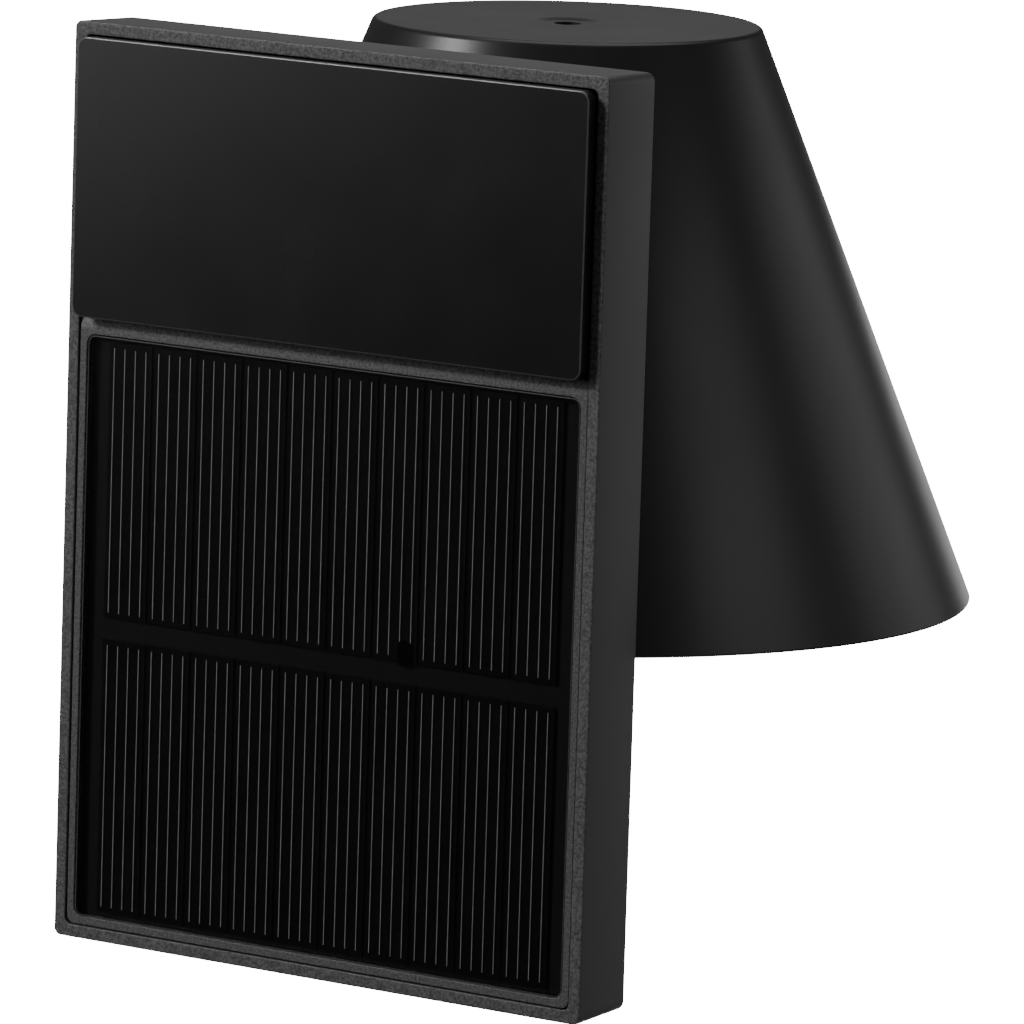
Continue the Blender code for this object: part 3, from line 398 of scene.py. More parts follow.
# The bezel's front edge reaches a little into the parting line, which stays open behind.
lip = 0.2 * MM
lip_depth = 1.0 * MM
bezel = add_mesh("bezel_frame", slab(width, height, middle, [
    (bezel_low.y, edge - lip, 1.4 * MM),
    (bezel_low.y + 0.3 * edge, 0.3 * edge - lip, 1.5 * MM),
    (bezel_low.y + edge, -lip, 1.5 * MM), (bezel_low.y + lip_depth, -lip, 1.5 * MM),
    (bezel_low.y + lip_depth + lip, 0.0, 1.5 * MM), (bezel_back, 0.0, 1.5 * MM)]), rim_grain_and_glint)
cover_width, cover_height, cover_middle = across(cover_low, cover_high)
cover_gap = 0.2 * MM
lead_in = 0.08 * MM
ledge_width = 3.6 * MM
ledge_y = tape_high.y + 0.3 * MM
pocket = add_mesh("pocket_tool", slab(
    cover_width + 2 * cover_gap, cover_height + 2 * cover_gap, cover_middle, [
        (bezel_low.y - 0.1 * MM, -0.1 * MM - lead_in, 2.0 * MM),
        (bezel_low.y + lead_in, 0.0, 1.9 * MM), (ledge_y, 0.0, 1.9 * MM)]))
window = add_mesh("window_tool", slab(
    cover_width, cover_height, cover_middle,
    [(0.0, ledge_width, 1.9 * MM), (0.05, ledge_width, 1.9 * MM)]))
platform_y = pad_high.y + 1.2 * MM
recess_bottom = pad_low.z - 0.2 * MM
recess_middle = (0.0, recess_bottom + 0.05)
bar_slope = 2.4 * MM
recess_stops = [(-0.05, -bar_slope, MM), (bezel_low.y, -bar_slope, MM),
                (bezel_low.y + 0.06 * MM, -0.75 * bar_slope, MM),
                (bezel_low.y + 0.25 * MM, -0.4 * bar_slope, MM),
                (bezel_low.y + 0.55 * MM, 0.0, MM), (platform_y, 0.0, MM)]
recess = add_mesh("recess_tool", slab(0.2, 0.1, recess_middle, recess_stops))
carve(bezel, [pocket, window, recess])
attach(bezel, "lamp")
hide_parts("front_bezel")


# The pad plate: a polished black plate that stands proud of the rim. Its cut edge is
# rounded off finely and ground matte, and painted paler than the plate as the thin highlight line
# it shows.
def glossy(name, colour, roughness):
    """Polished black plastic with a trace of unevenness in its gloss."""
    finish, tree, shader = new_finish(name)
    shader.inputs["Base Color"].default_value = (*colour, 1.0)
    uneven_gloss(tree, shader, 60.0, 3.0, roughness * 0.8, roughness * 1.2)
    return finish


pad_polish = glossy("pad_polish", (0.006, 0.006, 0.006), 0.26)
# The edge's pale grey is partly a ground matte finish and partly a painted highlight.
ground_edge_and_highlight = moulded("ground_edge_and_highlight", (0.1, 0.1, 0.103), 0.35, 0.2 * MM, 0.002 * MM)
width, height, middle = across(pad_low, pad_high)
edge = 0.22 * MM
pad = add_mesh("pad_face_plate", slab(width, height, middle, [
    (pad_low.y, edge, 1.7 * MM), (pad_low.y + 0.3 * edge, 0.3 * edge, 1.85 * MM),
    (pad_low.y + edge, 0.0, 1.9 * MM), (pad_high.y, 0.0, 1.9 * MM)]), pad_polish, ground_edge_and_highlight)
# The rounded edge faces take the paler finish, a painted highlight line.
for face in pad.data.polygons:
    if pad_low.y + 0.1 * edge < face.center.y < pad_low.y + edge:
        face.material_index = 1
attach(pad, "lamp")
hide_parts("pad_plate")


# The solar cover: a clear sheet over the cells, set below the bezel, with a fine
# frosted line where its edge was cut, painted paler as the edge's highlight.
clear_sheet, sheet_tree, unused_shader = new_finish("clear_sheet")
sheet_tree.nodes.remove(unused_shader)
see_through = sheet_tree.nodes.new("ShaderNodeBsdfTransparent")
see_through.inputs["Color"].default_value = (0.95, 0.95, 0.95, 1.0)
shine = sheet_tree.nodes.new("ShaderNodeBsdfGlossy")
shine.inputs["Roughness"].default_value = 0.22
angle_share = sheet_tree.nodes.new("ShaderNodeFresnel")
angle_share.inputs["IOR"].default_value = 1.22
sheet_mix = sheet_tree.nodes.new("ShaderNodeMixShader")
sheet_tree.links.new(angle_share.outputs["Fac"], sheet_mix.inputs["Fac"])
sheet_tree.links.new(see_through.outputs["BSDF"], sheet_mix.inputs[1])
sheet_tree.links.new(shine.outputs["BSDF"], sheet_mix.inputs[2])
sheet_tree.links.new(sheet_mix.outputs["Shader"],
                     sheet_tree.nodes["Material Output"].inputs["Surface"])
# The cut edge's frosting is real; its pale tone is partly a painted highlight.
frosted_edge_and_highlight = moulded("frosted_edge_and_highlight", (0.05, 0.05, 0.051), 0.5, 0.3 * MM, 0.004 * MM, 0.6)
edge = 0.2 * MM
cover = add_mesh("solar_window", slab(cover_width, cover_height, cover_middle, [
    (cover_low.y, edge, 1.3 * MM), (cover_low.y + 0.02 * MM, 0.1 * edge, 1.5 * MM),
    (cover_low.y + 0.08 * MM, 0.0, 1.5 * MM), (cover_high.y, 0.0, 1.5 * MM)], 16),
    clear_sheet, frosted_edge_and_highlight)
# The narrow edge faces take the paler finish, a painted highlight line.
for face in cover.data.polygons:
    if len(face.vertices) == 4 and face.center.y < cover_low.y + 0.07 * MM:
        face.material_index = 1
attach(cover, "lamp")
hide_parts("solar_cover")


# The cells: two rows of ten black silicon strips on a black board. Each strip has
# four thin silver collector fingers, screen-printed along it, and one strip shows
# the dark spot of resin over its soldered joint.
def dress(names, finish):
    """Gives CAD nodes that stay in the model their finish."""
    for name in names:
        nodes[name].data.materials.clear()
        nodes[name].data.materials.append(finish)


silicon, silicon_tree, silicon_shader = new_finish("silicon")
silicon_grain = mottled(silicon_tree, 140.0, 4.0)
silicon_ramp = silicon_tree.nodes.new("ShaderNodeValToRGB")
silicon_ramp.color_ramp.elements[0].position = 0.3
silicon_ramp.color_ramp.elements[0].color = (0.0045, 0.0045, 0.0048, 1.0)
silicon_ramp.color_ramp.elements[1].position = 0.7
silicon_ramp.color_ramp.elements[1].color = (0.0075, 0.0075, 0.008, 1.0)
silicon_tree.links.new(silicon_grain.outputs["Fac"], silicon_ramp.inputs["Fac"])
silicon_tree.links.new(silicon_ramp.outputs["Color"], silicon_shader.inputs["Base Color"])
silicon_shader.inputs["Roughness"].default_value = 0.4
silicon_shader.inputs["Specular IOR Level"].default_value = 0.06
board_black = moulded("board_black", (0.013, 0.013, 0.013), 0.5, 0.4 * MM, 0.002 * MM)
board_shader = board_black.node_tree.nodes["Principled BSDF"]
board_shader.inputs["Specular IOR Level"].default_value = 0.08
finger_silver = moulded("finger_silver", (0.42, 0.42, 0.43), 0.5, 0.1 * MM, 0.002 * MM, 0.15)
cell_names = sorted(name for name in nodes if name.startswith("cell_strip_"))
dress(cell_names, silicon)
dress(["solar_board"], board_black)


def node_group(name, inputs):
    """An empty geometry tree with a Geometry input, the named inputs and an output."""
    tree = bpy.data.node_groups.new(name, "GeometryNodeTree")
    tree.interface.new_socket("Geometry", in_out="INPUT", socket_type="NodeSocketGeometry")
    for label, kind in inputs:
        tree.interface.new_socket(label, in_out="INPUT", socket_type=kind)
    tree.interface.new_socket("Geometry", in_out="OUTPUT", socket_type="NodeSocketGeometry")
    return tree, tree.nodes.new("NodeGroupInput"), tree.nodes.new("NodeGroupOutput")


def set_down(tree, given, result, copies):
    """Ends a geometry tree: makes its copies real and paints them."""
    realise = tree.nodes.new("GeometryNodeRealizeInstances")
    paint = tree.nodes.new("GeometryNodeSetMaterial")
    tree.links.new(copies.outputs["Instances"], realise.inputs["Geometry"])
    tree.links.new(realise.outputs["Geometry"], paint.inputs["Geometry"])
    tree.links.new(given.outputs["Finish"], paint.inputs["Material"])
    tree.links.new(paint.outputs["Geometry"], result.inputs["Geometry"])


def grow(name, points, tree, values):
    """A plain mesh from a geometry tree over a few points, its inputs set by name."""
    mesh = bpy.data.meshes.new(name)
    mesh.from_pydata([tuple(point) for point in points], [], [])
    made = bpy.data.objects.new(name, mesh)
    bpy.context.scene.collection.objects.link(made)
    change = made.modifiers.new(name, "NODES")
    change.node_group = tree
    for item in tree.interface.items_tree:
        if item.in_out == "INPUT" and item.name in values:
            change[item.identifier] = values[item.name]
    graph = bpy.context.evaluated_depsgraph_get()
    grown = bpy.data.meshes.new_from_object(made.evaluated_get(graph))
    made.modifiers.clear()
    made.data = grown
    return made


finger_tree, given, result = node_group("collector_fingers", (
    ("Finger count", "NodeSocketInt"), ("Finger pitch", "NodeSocketFloat"),
    ("Finger width", "NodeSocketFloat"), ("Finger length", "NodeSocketFloat"),
    ("Finger height", "NodeSocketFloat"), ("Finish", "NodeSocketMaterial")))
line = finger_tree.nodes.new("GeometryNodeMeshLine")
line_step = finger_tree.nodes.new("ShaderNodeCombineXYZ")
line_start = finger_tree.nodes.new("ShaderNodeCombineXYZ")
half_span = finger_tree.nodes.new("ShaderNodeMath")
half_span.operation = "MULTIPLY"
less_one = finger_tree.nodes.new("ShaderNodeMath")
less_one.operation = "SUBTRACT"
less_one.inputs[1].default_value = 1.0
halved = finger_tree.nodes.new("ShaderNodeMath")
halved.operation = "MULTIPLY"
halved.inputs[1].default_value = -0.5
bar = finger_tree.nodes.new("GeometryNodeMeshCube")
bar_size = finger_tree.nodes.new("ShaderNodeCombineXYZ")
on_line = finger_tree.nodes.new("GeometryNodeInstanceOnPoints")
on_strips = finger_tree.nodes.new("GeometryNodeInstanceOnPoints")
join_up = finger_tree.links.new
join_up(given.outputs["Finger count"], line.inputs["Count"])
join_up(given.outputs["Finger pitch"], line_step.inputs["X"])
join_up(line_step.outputs[0], line.inputs["Offset"])
join_up(given.outputs["Finger count"], less_one.inputs[0])
join_up(less_one.outputs[0], half_span.inputs[0])
join_up(given.outputs["Finger pitch"], half_span.inputs[1])
join_up(half_span.outputs[0], halved.inputs[0])
join_up(halved.outputs[0], line_start.inputs["X"])
join_up(line_start.outputs[0], line.inputs["Start Location"])
join_up(given.outputs["Finger width"], bar_size.inputs["X"])
join_up(given.outputs["Finger height"], bar_size.inputs["Y"])
join_up(given.outputs["Finger length"], bar_size.inputs["Z"])
join_up(bar_size.outputs[0], bar.inputs["Size"])
join_up(line.outputs["Mesh"], on_line.inputs["Points"])
join_up(bar.outputs["Mesh"], on_line.inputs["Instance"])
join_up(given.outputs["Geometry"], on_strips.inputs["Points"])
join_up(on_line.outputs["Instances"], on_strips.inputs["Instance"])
set_down(finger_tree, given, result, on_strips)

strip_low, strip_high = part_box(cell_names[0])
finger_height = 0.03 * MM
finger_y = cover_high.y + finger_height / 2 + 0.03 * MM
strip_spots = [(middle_of(name).x, finger_y, middle_of(name).z) for name in cell_names]
fingers = grow("collector_fingers", strip_spots, finger_tree, {
    "Finger count": 4, "Finger pitch": 2.24 * MM, "Finger width": 0.13 * MM,
    "Finger length": strip_high.z - strip_low.z - 1.9 * MM,
    "Finger height": finger_height, "Finish": finger_silver})
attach(fingers, "lamp")

joint_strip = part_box("cell_strip_07")[0].z, middle_of("cell_strip_07").x
resin = glossy("resin", (0.003, 0.003, 0.003), 0.7)
resin_shader = resin.node_tree.nodes["Principled BSDF"]
resin_shader.inputs["Specular IOR Level"].default_value = 0.02
resin_spot = add_mesh("resin_spot", slab(
    3.0 * MM, 4.6 * MM, (joint_strip[1] + 2.2 * MM, joint_strip[0] + 1.6 * MM), [
        (finger_y - 0.055 * MM, 0.5 * MM, 0.9 * MM), (finger_y - 0.04 * MM, 0.1 * MM, 1.2 * MM),
        (finger_y - 0.02 * MM, 0.0, 1.3 * MM)]), resin)
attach(resin_spot, "lamp")


# The shade: one thick-walled ABS cone with a crisp top edge, a faint dish round the
# button, and a flat walled side that bolts to the housing. Inside it has the button's
# guide, three bosses for the lamp cup and four for the shade's own screws.
shade_low, shade_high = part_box("shade")
bottom_radius = (shade_high.x - shade_low.x) / 2
shade_axis = Vector((0.0, shade_high.y - bottom_radius, 0.0))
top_radius = 33.9 * MM
slope = (bottom_radius - top_radius) / (shade_high.z - shade_low.z)
wall_across = 2.2 * MM * math.hypot(1.0, slope)
ceiling = shade_high.z - 2.5 * MM
shade_satin = moulded("shade_satin", (0.017, 0.017, 0.0175), 0.34, 0.16 * MM, 0.003 * MM, 0.1)
lean = math.atan(slope)
profile = [(0.0, shade_low.z), (bottom_radius - 0.5 * MM, shade_low.z)]
for step in range(1, 5):
    turn = math.radians(22.5 * step)
    profile.append((bottom_radius - 0.5 * MM * (1 - math.sin(turn)),
                    shade_low.z + 0.5 * MM * (1 - math.cos(turn))))
edge_radius = 1.1 * MM
for step in range(9):
    turn = lean + (math.pi / 2 - lean) * step / 8
    hinge_z = shade_high.z - edge_radius
    hinge_r = top_radius + slope * edge_radius - edge_radius / math.cos(lean)
    profile.append((hinge_r + edge_radius * math.cos(turn),
                    hinge_z + edge_radius * math.sin(turn)))
dish_radius = 6.5 * MM
dish_depth = 0.4 * MM
for step in range(9):
    share = step / 8
    fall = dish_depth * (1 - math.cos(math.pi * share)) / 2
    profile.append((dish_radius - 2.8 * MM * share, shade_high.z - fall))
profile.append((0.0, shade_high.z - dish_depth))
shade = add_mesh("shade_cone", turned(profile, shade_axis, 240), shade_satin)
ceiling_radius = top_radius + slope * (shade_high.z - ceiling) - wall_across
hollow = [(0.0, shade_low.z - MM),
          (bottom_radius + slope * MM - wall_across, shade_low.z - MM),
          (ceiling_radius - 0.8 * MM, ceiling - 0.3 * MM), (ceiling_radius - 1.4 * MM, ceiling),
          (0.0, ceiling)]
hollow_tool = add_mesh("hollow_tool", turned(hollow, shade_axis, 240))
back_wall = shade_low.y + 2.5 * MM
# Both of these are blocks larger than the lamp, and end at a plane across Y.
reach = 0.4
block_middle = (0.0, shade_low.z + reach / 4)
keeper = add_mesh("keeper_tool", slab(reach, reach, block_middle, [
    (back_wall - reach, 0.0, MM), (back_wall, 0.0, MM)]))
carve(hollow_tool, [keeper])
housing_side = add_mesh("housing_side_tool", slab(reach, reach, block_middle, [
    (shade_low.y - reach, 0.0, MM), (shade_low.y, 0.0, MM)]))
carve(shade, [hollow_tool])
bosses = [drum("guide", 5.9 * MM, ceiling - 3 * MM, ceiling + MM, shade_axis, "Z", 64)]
holes = [drum("collar_bore", 4.3 * MM, ceiling - 4 * MM, ceiling, shade_axis, "Z", 64),
         drum("button_bore", 2.4 * MM, ceiling - MM, 0.2, shade_axis, "Z", 64), housing_side]
cup_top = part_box("lamp_holder")[1].z
for number in range(1, 4):
    spot = middle_of(f"holder_screw_{number}")
    spot.z = 0.0
    bosses.append(drum("cup_boss", 3.1 * MM, cup_top + 0.3 * MM, ceiling + MM, spot, "Z"))
    holes.append(drum("cup_pilot", screw_hole_radius, cup_top - MM, ceiling - 2 * MM, spot, "Z"))
for number in range(1, 5):
    spot = middle_of(f"shade_screw_{number}")
    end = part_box(f"shade_screw_{number}")[1].y + 0.3 * MM
    spot.y = 0.0
    bosses.append(drum("shade_boss", 3.1 * MM, shade_low.y + MM, end + 1.7 * MM, spot))
    holes.append(drum("shade_pilot", screw_hole_radius, 0.0, end, spot))
holes.append(drum("grommet_hole", lead_hole_radius, 0.0, back_wall + MM,
                  (lead_hole.x, 0.0, lead_hole.z)))
holes.append(drum("seal_pocket", 6.7 * MM, 0.0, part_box("lead_seal")[1].y + 0.3 * MM,
                  (lead_hole.x, 0.0, lead_hole.z)))
carve(shade, bosses, "UNION")
carve(shade, holes)
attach(shade, "lamp")
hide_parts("shade")


# The power button: a small satin stem, slightly hollow on top for a fingertip, with a
# collar that stops it under the shade's top. It alone moves.
button_low, button_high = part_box("power_button")
stem = 2.1 * MM
profile = [(0.0, button_low.z), (4.0 * MM, button_low.z), (4.0 * MM, button_low.z + 1.6 * MM),
           (stem, button_low.z + 1.6 * MM), (stem, button_high.z - 0.35 * MM),
           (stem - 0.1 * MM, button_high.z - 0.1 * MM), (stem - 0.35 * MM, button_high.z),
           (stem - 0.8 * MM, button_high.z - 0.05 * MM),
           (stem - 1.4 * MM, button_high.z - 0.15 * MM),
           (0.0, button_high.z - 0.18 * MM)]
button_satin = moulded("button_satin", (0.02, 0.02, 0.02), 0.4, 0.1 * MM, 0.002 * MM)
button = add_mesh("button_cap", turned(profile, shade_axis, 64), button_satin)
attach(button, "button")
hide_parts("power_button")


# The lamp under the shade's top: a white cup, an opal diffuser that closes it, and the
# black ring that clips them together.
white_satin = moulded("white_satin", (0.78, 0.78, 0.77), 0.4, 0.15 * MM, 0.003 * MM)
opal_sheet, opal_tree, opal_shader = new_finish("opal_sheet")
opal_shader.inputs["Base Color"].default_value = (0.86, 0.86, 0.83, 1.0)
opal_shader.inputs["Subsurface Weight"].default_value = 0.4
opal_shader.inputs["Subsurface Scale"].default_value = 2.0 * MM
uneven_gloss(opal_tree, opal_shader, 90.0, 2.0, 0.3, 0.42)
cup_low, cup_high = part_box("lamp_holder")
cup_radius = (cup_high.x - cup_low.x) / 2
cup_wall = 1.8 * MM
profile = [(0.0, cup_high.z), (cup_radius - 0.8 * MM, cup_high.z),
           (cup_radius - 0.25 * MM, cup_high.z - 0.25 * MM), (cup_radius, cup_high.z - 0.8 * MM),
           (cup_radius, cup_low.z), (cup_radius - cup_wall, cup_low.z),
           (cup_radius - cup_wall, cup_high.z - cup_wall), (0.0, cup_high.z - cup_wall)]
cup = add_mesh("lamp_cup", turned(profile, shade_axis, 96), white_satin)
holes = []
for number in range(1, 4):
    spot = middle_of(f"holder_screw_{number}")
    spot.z = 0.0
    holes.append(drum("cup_hole", screw_hole_radius, cup_low.z, cup_high.z + MM, spot, "Z"))
link_low, link_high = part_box("board_link")
link_middle = (link_low + link_high) / 2
link_width = link_high.x - link_low.x + MM
link_depth = link_high.y - link_low.y + MM
slot_shape = bmesh.new()
bmesh.ops.create_cube(slot_shape, size=1.0)
bmesh.ops.scale(slot_shape, vec=(link_width, link_depth, 8 * MM), verts=slot_shape.verts)
bmesh.ops.translate(slot_shape, vec=link_middle, verts=slot_shape.verts)
holes.append(add_mesh("slot_tool", slot_shape))
carve(cup, holes)
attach(cup, "lamp")
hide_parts("lamp_holder")

pane_low, pane_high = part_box("diffuser")
pane_radius = (pane_high.x - pane_low.x) / 2
profile = [(0.0, pane_high.z), (pane_radius, pane_high.z), (pane_radius, pane_low.z + 0.3 * MM),
           (pane_radius - 0.3 * MM, pane_low.z), (pane_radius * 0.6, pane_low.z), (0.0, pane_low.z)]
pane = add_mesh("opal_pane", turned(profile, shade_axis, 96), opal_sheet)
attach(pane, "lamp")
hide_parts("diffuser")

ring_low, ring_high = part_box("diffuser_ring")
ring_radius = (ring_high.x - ring_low.x) / 2
ring_wall = 1.7 * MM
grip = ring_radius - ring_wall
lip = grip - 3.0 * MM
round_off = 0.5 * MM
profile = [(lip, ring_low.z + ring_wall), (lip, ring_low.z + 0.3 * MM),
           (lip + 0.3 * MM, ring_low.z), (ring_radius - round_off, ring_low.z),
           (ring_radius - 0.3 * round_off, ring_low.z + 0.3 * round_off),
           (ring_radius, ring_low.z + round_off), (ring_radius, ring_high.z - 0.3 * MM),
           (ring_radius - 0.3 * MM, ring_high.z), (grip, ring_high.z),
           (grip, ring_low.z + ring_wall)]
clip_ring = add_mesh("clip_ring", turned(profile, shade_axis, 96), housing_satin)
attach(clip_ring, "lamp")
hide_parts("diffuser_ring")


# The LED board in the cup: a white-lacquered aluminium disc with four warm LEDs, their
# phosphor domes slightly mottled, and the short link of wires up to the switch board.
white_lacquer = moulded("white_lacquer", (0.8, 0.8, 0.79), 0.35, 0.3 * MM, 0.002 * MM, 0.05)
phosphor = moulded("phosphor", (0.75, 0.55, 0.1), 0.5, 0.08 * MM, 0.004 * MM, 0.2)
black_sleeve = moulded("black_sleeve", (0.015, 0.015, 0.015), 0.45, 0.3 * MM, 0.003 * MM)
red_sleeve = moulded("red_sleeve", (0.4, 0.02, 0.02), 0.4, 0.3 * MM, 0.003 * MM, 0.1)
dress(["led_board"], white_lacquer)
dress([f"led_{number}" for number in range(1, 5)], phosphor)
dress(["board_link"], black_sleeve)
dress(["button_switch"], board_black)


# The boards inside: fibreglass under green solder resist, with paler copper tracks
# showing through it.
green_board, green_tree, green_shader = new_finish("green_board")
board_place = green_tree.nodes.new("ShaderNodeTexCoord")
tracks = green_tree.nodes.new("ShaderNodeTexVoronoi")
tracks.distance = "CHEBYCHEV"
tracks.feature = "F2"
tracks.inputs["Scale"].default_value = 260.0
track_edge = green_tree.nodes.new("ShaderNodeValToRGB")
track_edge.color_ramp.interpolation = "CONSTANT"
track_edge.color_ramp.elements[0].color = (0.01, 0.075, 0.03, 1.0)
track_edge.color_ramp.elements[1].position = 0.62
track_edge.color_ramp.elements[1].color = (0.03, 0.16, 0.06, 1.0)
green_tree.links.new(board_place.outputs["Object"], tracks.inputs["Vector"])
green_tree.links.new(tracks.outputs["Distance"], track_edge.inputs["Fac"])
green_tree.links.new(track_edge.outputs["Color"], green_shader.inputs["Base Color"])
green_shader.inputs["Roughness"].default_value = 0.3
dress(["main_board", "switch_board"], green_board)


# The battery: a flat lithium pouch in dull aluminium foil, slightly creased, held by
# double-sided foam tape. The panel and the pad are held by the same kind of tape.
pouch_foil, foil_tree, foil_shader = new_finish("pouch_foil")
creases = mottled(foil_tree, 120.0, 5.0)
foil_bump = foil_tree.nodes.new("ShaderNodeBump")
foil_bump.inputs["Distance"].default_value = 0.1 * MM
foil_ramp = foil_tree.nodes.new("ShaderNodeValToRGB")
foil_ramp.color_ramp.elements[0].color = (0.48, 0.49, 0.5, 1.0)
foil_ramp.color_ramp.elements[1].color = (0.62, 0.63, 0.64, 1.0)
foil_tree.links.new(creases.outputs["Fac"], foil_bump.inputs["Height"])
foil_tree.links.new(creases.outputs["Fac"], foil_ramp.inputs["Fac"])
foil_tree.links.new(foil_ramp.outputs["Color"], foil_shader.inputs["Base Color"])
foil_tree.links.new(foil_bump.outputs["Normal"], foil_shader.inputs["Normal"])
foil_shader.inputs["Metallic"].default_value = 0.9
foil_shader.inputs["Roughness"].default_value = 0.35
grey_foam = moulded("grey_foam", (0.16, 0.16, 0.16), 0.9, 0.25 * MM, 0.05 * MM, 0.2)
dress(["battery_cell"], pouch_foil)
dress(["battery_tape", "panel_tape", "pad_tape"], grey_foam)
dress(["solar_lead", "battery_lead"], red_sleeve)


# The screws: pan heads with a cross recess and a rolled thread. Blackened ones close
# the housing from the back; plated ones hold the shade and the lamp cup.
def turned_screw(head_radius, head_height, shank_radius, length):
    """One screw, its head up at the origin: the pattern that the screw tree copies."""
    profile = [(0.0, 0.0), (head_radius * 0.6, 0.0), (head_radius * 0.85, -head_height * 0.12),
               (head_radius * 0.97, -head_height * 0.4), (head_radius, -head_height * 0.7),
               (head_radius, -head_height), (shank_radius, -head_height)]
    depth = head_height + 0.4 * MM
    while depth < head_height + length - 1.2 * MM:
        profile += [(shank_radius * 0.82, -depth), (shank_radius, -depth - 0.35 * MM),
                    (shank_radius * 0.82, -depth - 0.7 * MM)]
        depth += 0.8 * MM
    profile += [(shank_radius * 0.75, -head_height - length + 0.5 * MM),
                (shank_radius * 0.3, -head_height - length), (0.0, -head_height - length)]
    made = add_mesh("screw_pattern", turned(profile, (0.0, 0.0, 0.0), 32))
    blades = []
    for width, depth in ((head_radius * 1.15, head_radius * 0.2), (head_radius * 0.2,
                                                                  head_radius * 1.15)):
        blade = bmesh.new()
        bmesh.ops.create_cube(blade, size=1.0)
        bmesh.ops.scale(blade, vec=(width, depth, head_height * 1.2), verts=blade.verts)
        blades.append(add_mesh("cross_blade", blade))
    carve(made, blades)
    return made


screw_tree, given, result = node_group("screw_set", (
    ("Pattern", "NodeSocketObject"), ("Aim", "NodeSocketVector"),
    ("Most turn", "NodeSocketFloat"), ("Finish", "NodeSocketMaterial")))
pattern = screw_tree.nodes.new("GeometryNodeObjectInfo")
copies = screw_tree.nodes.new("GeometryNodeInstanceOnPoints")
tightened = screw_tree.nodes.new("FunctionNodeRandomValue")
tightened.data_type = "FLOAT"
turn_by = screw_tree.nodes.new("ShaderNodeCombineXYZ")
spun = screw_tree.nodes.new("GeometryNodeRotateInstances")
join_up = screw_tree.links.new
join_up(given.outputs["Geometry"], copies.inputs["Points"])
join_up(given.outputs["Pattern"], pattern.inputs["Object"])
join_up(pattern.outputs["Geometry"], copies.inputs["Instance"])
join_up(given.outputs["Aim"], copies.inputs["Rotation"])
join_up(given.outputs["Most turn"], tightened.inputs[3])
join_up(tightened.outputs[1], turn_by.inputs["Z"])
join_up(copies.outputs["Instances"], spun.inputs["Instances"])
join_up(turn_by.outputs[0], spun.inputs["Rotation"])
set_down(screw_tree, given, result, spun)

plated_steel, steel_tree, steel_shader = new_finish("plated_steel")
uneven_gloss(steel_tree, steel_shader, 900.0, 2.0, 0.22, 0.4)
steel_shader.inputs["Metallic"].default_value = 1.0
steel_shader.inputs["Base Color"].default_value = (0.6, 0.6, 0.61, 1.0)
blackened = moulded("blackened_steel", (0.03, 0.03, 0.03), 0.35, 0.15 * MM, 0.003 * MM, 0.3)
blackened.node_tree.nodes["Principled BSDF"].inputs["Metallic"].default_value = 0.6

head_height = 1.4 * MM
for kind, count, axis, aim_at, finish, slot in (
        ("housing_screw", 4, 1, 1, blackened, "black_screw"),
        ("shade_screw", 4, 1, -1, plated_steel, "steel"),
        ("holder_screw", 3, 2, -1, plated_steel, "steel")):
    names = [f"{kind}_{number}" for number in range(1, count + 1)]
    heads = []
    for name in names:
        low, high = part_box(name)
        head = (low + high) / 2
        head[axis] = high[axis] if aim_at > 0 else low[axis]
        heads.append(head)
    low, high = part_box(names[0])
    template = turned_screw((high.x - low.x) / 2, head_height, 1.1 * MM,
                            high[axis] - low[axis] - head_height)
    aim = (-math.pi / 2 * aim_at, 0.0, 0.0) if axis == 1 else (math.pi, 0.0, 0.0)
    screws = grow(f"{kind}_set", heads, screw_tree, {
        "Pattern": template, "Aim": aim, "Most turn": math.pi / 2, "Finish": finish})
    bpy.data.objects.remove(template)
    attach(screws, "lamp")
    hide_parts(*names)


# The lamp's lead: a black sleeved flex from the board, through a rubber grommet in
# both walls, up the inside of the shade and into the cup, with a washer as its seal.
def flex(name, points, radius, finish):
    """A smooth tube through points, as a plain mesh with closed ends."""
    path = bpy.data.curves.new(name, "CURVE")
    path.dimensions = "3D"
    path.bevel_depth = radius
    path.bevel_resolution = 5
    path.use_fill_caps = True
    run = path.splines.new("BEZIER")
    run.bezier_points.add(len(points) - 1)
    for bend, point in zip(run.bezier_points, points):
        bend.co = point
        bend.handle_left_type = bend.handle_right_type = "AUTO"
    path.resolution_u = 8
    made = bpy.data.objects.new(name, path)
    bpy.context.scene.collection.objects.link(made)
    graph = bpy.context.evaluated_depsgraph_get()
    mesh = bpy.data.meshes.new_from_object(made.evaluated_get(graph))
    bpy.data.objects.remove(made)
    mesh.materials.clear()
    mesh.materials.append(finish)
    mesh.shade_smooth()
    tube = bpy.data.objects.new(name, mesh)
    bpy.context.scene.collection.objects.link(tube)
    return tube


def wall_inside(z, stand_off):
    """The point that far in front of the shade's inner wall, on the middle plane."""
    cone = shade_axis.y - (top_radius + slope * (shade_high.z - z) - wall_across)
    return (0.0, max(cone, back_wall) + stand_off * MM, z)


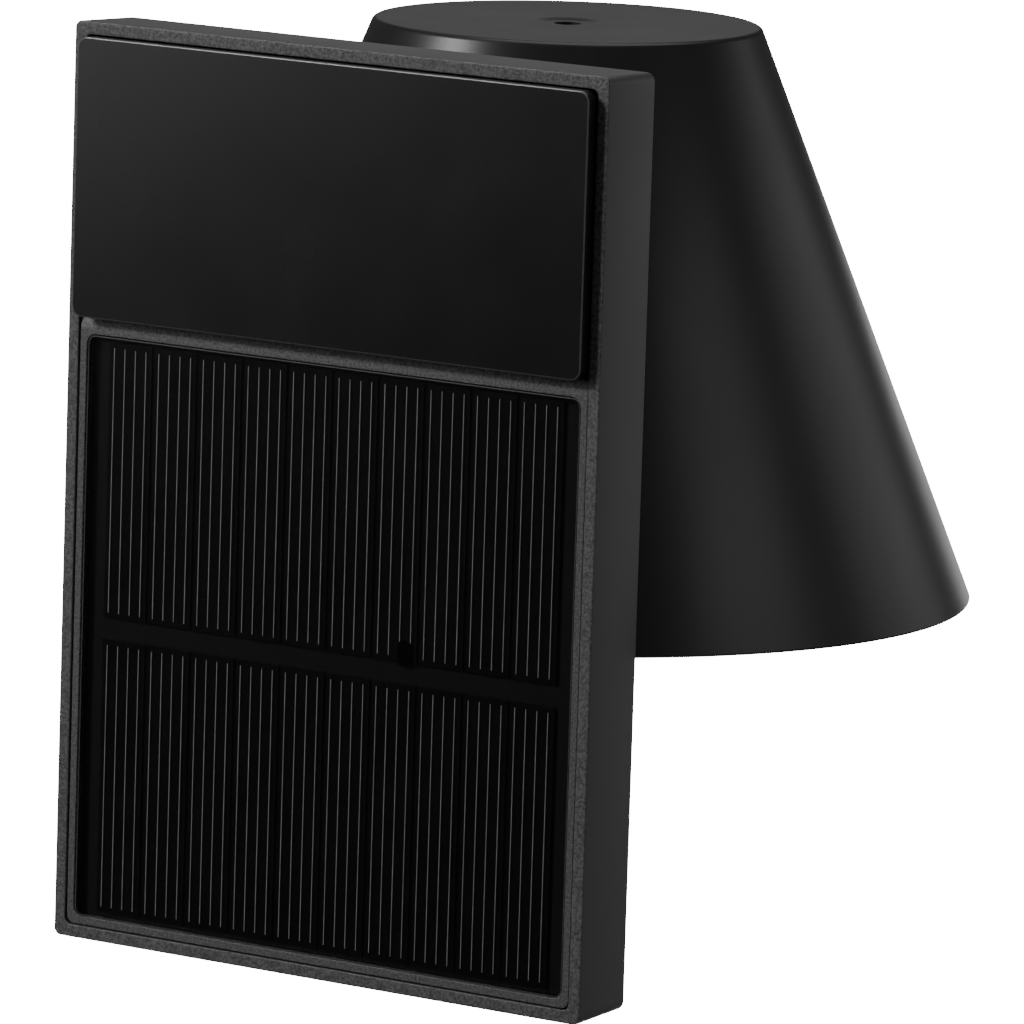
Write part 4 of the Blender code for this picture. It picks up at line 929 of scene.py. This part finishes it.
board_low, board_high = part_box("main_board")
board_y = (board_low.y + board_high.y) / 2
board_end = board_low.z - 0.3 * MM
hole_z = lead_hole.z
over_cup = cup_high.z + 0.3 * MM
cup_side = shade_axis.y - cup_radius
lamp_flex = flex("lamp_flex", [
    (0.0, board_y, board_end), (0.0, board_y, board_end - 9.3 * MM),
    (0.0, board_low.y + 0.2 * MM, hole_z + 10 * MM),
    (0.0, board_low.y - 0.2 * MM, hole_z + 4 * MM),
    (0.0, board_low.y + 0.6 * MM, hole_z + 0.9 * MM), (0.0, board_low.y + 2.2 * MM, hole_z),
    (0.0, pocket_floor * MM + housing_low.y + 0.5 * MM, hole_z),
    (0.0, shade_low.y + 2.2 * MM, hole_z),
    wall_inside(hole_z, 2.7), wall_inside(hole_z + 1.4 * MM, 5.1),
    wall_inside(hole_z + 6 * MM, 6.5), wall_inside(hole_z + 14 * MM, 8.1),
    wall_inside(hole_z + 23 * MM, 10.2), wall_inside(over_cup - 25.3 * MM, 7.8),
    wall_inside(over_cup - 10.3 * MM, 5.5), wall_inside(over_cup - 1.8 * MM, 4.2),
    (0.0, cup_side + 1 * MM, over_cup + 2.7 * MM), (0.0, cup_side + 6 * MM, over_cup + 2.9 * MM),
    (0.0, shade_axis.y - 15.3 * MM, over_cup + 1.3 * MM)], 1.1 * MM, black_sleeve)
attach(lamp_flex, "lamp")
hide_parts("lamp_lead")

rubber = moulded("rubber", (0.014, 0.014, 0.014), 0.75, 0.2 * MM, 0.01 * MM)
grommet_low, grommet_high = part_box("cable_grommet")
flange = (grommet_high.x - grommet_low.x) / 2
neck = 2.8 * MM
bore = 1.4 * MM
lip_y = grommet_low.y + 1.2 * MM
profile = [(bore, grommet_low.y + 0.2 * MM), (bore + 0.2 * MM, grommet_low.y),
           (flange - 0.35 * MM, grommet_low.y), (flange, grommet_low.y + 0.35 * MM),
           (flange, lip_y - 0.2 * MM), (flange - 0.2 * MM, lip_y), (neck, lip_y),
           (neck, grommet_high.y - 0.5 * MM), (neck - 0.3 * MM, grommet_high.y),
           (bore, grommet_high.y)]
grommet = add_mesh("flex_grommet", turned(profile, (0.0, 0.0, hole_z), 48, "Y"), rubber)
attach(grommet, "lamp")
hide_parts("cable_grommet")

seal_low, seal_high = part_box("lead_seal")
seal_outer = (seal_high.x - seal_low.x) / 2
seal_inner = 3.4 * MM
soft_edge = 0.2 * MM
profile = [(seal_inner, seal_low.y + soft_edge), (seal_inner + soft_edge, seal_low.y),
           (seal_outer - soft_edge, seal_low.y), (seal_outer, seal_low.y + soft_edge),
           (seal_outer, seal_high.y - soft_edge), (seal_outer - soft_edge, seal_high.y),
           (seal_inner + soft_edge, seal_high.y), (seal_inner, seal_high.y - soft_edge)]
washer = add_mesh("seal_washer", turned(profile, (0.0, 0.0, hole_z), 48, "Y"), rubber)
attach(washer, "lamp")
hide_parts("lead_seal")
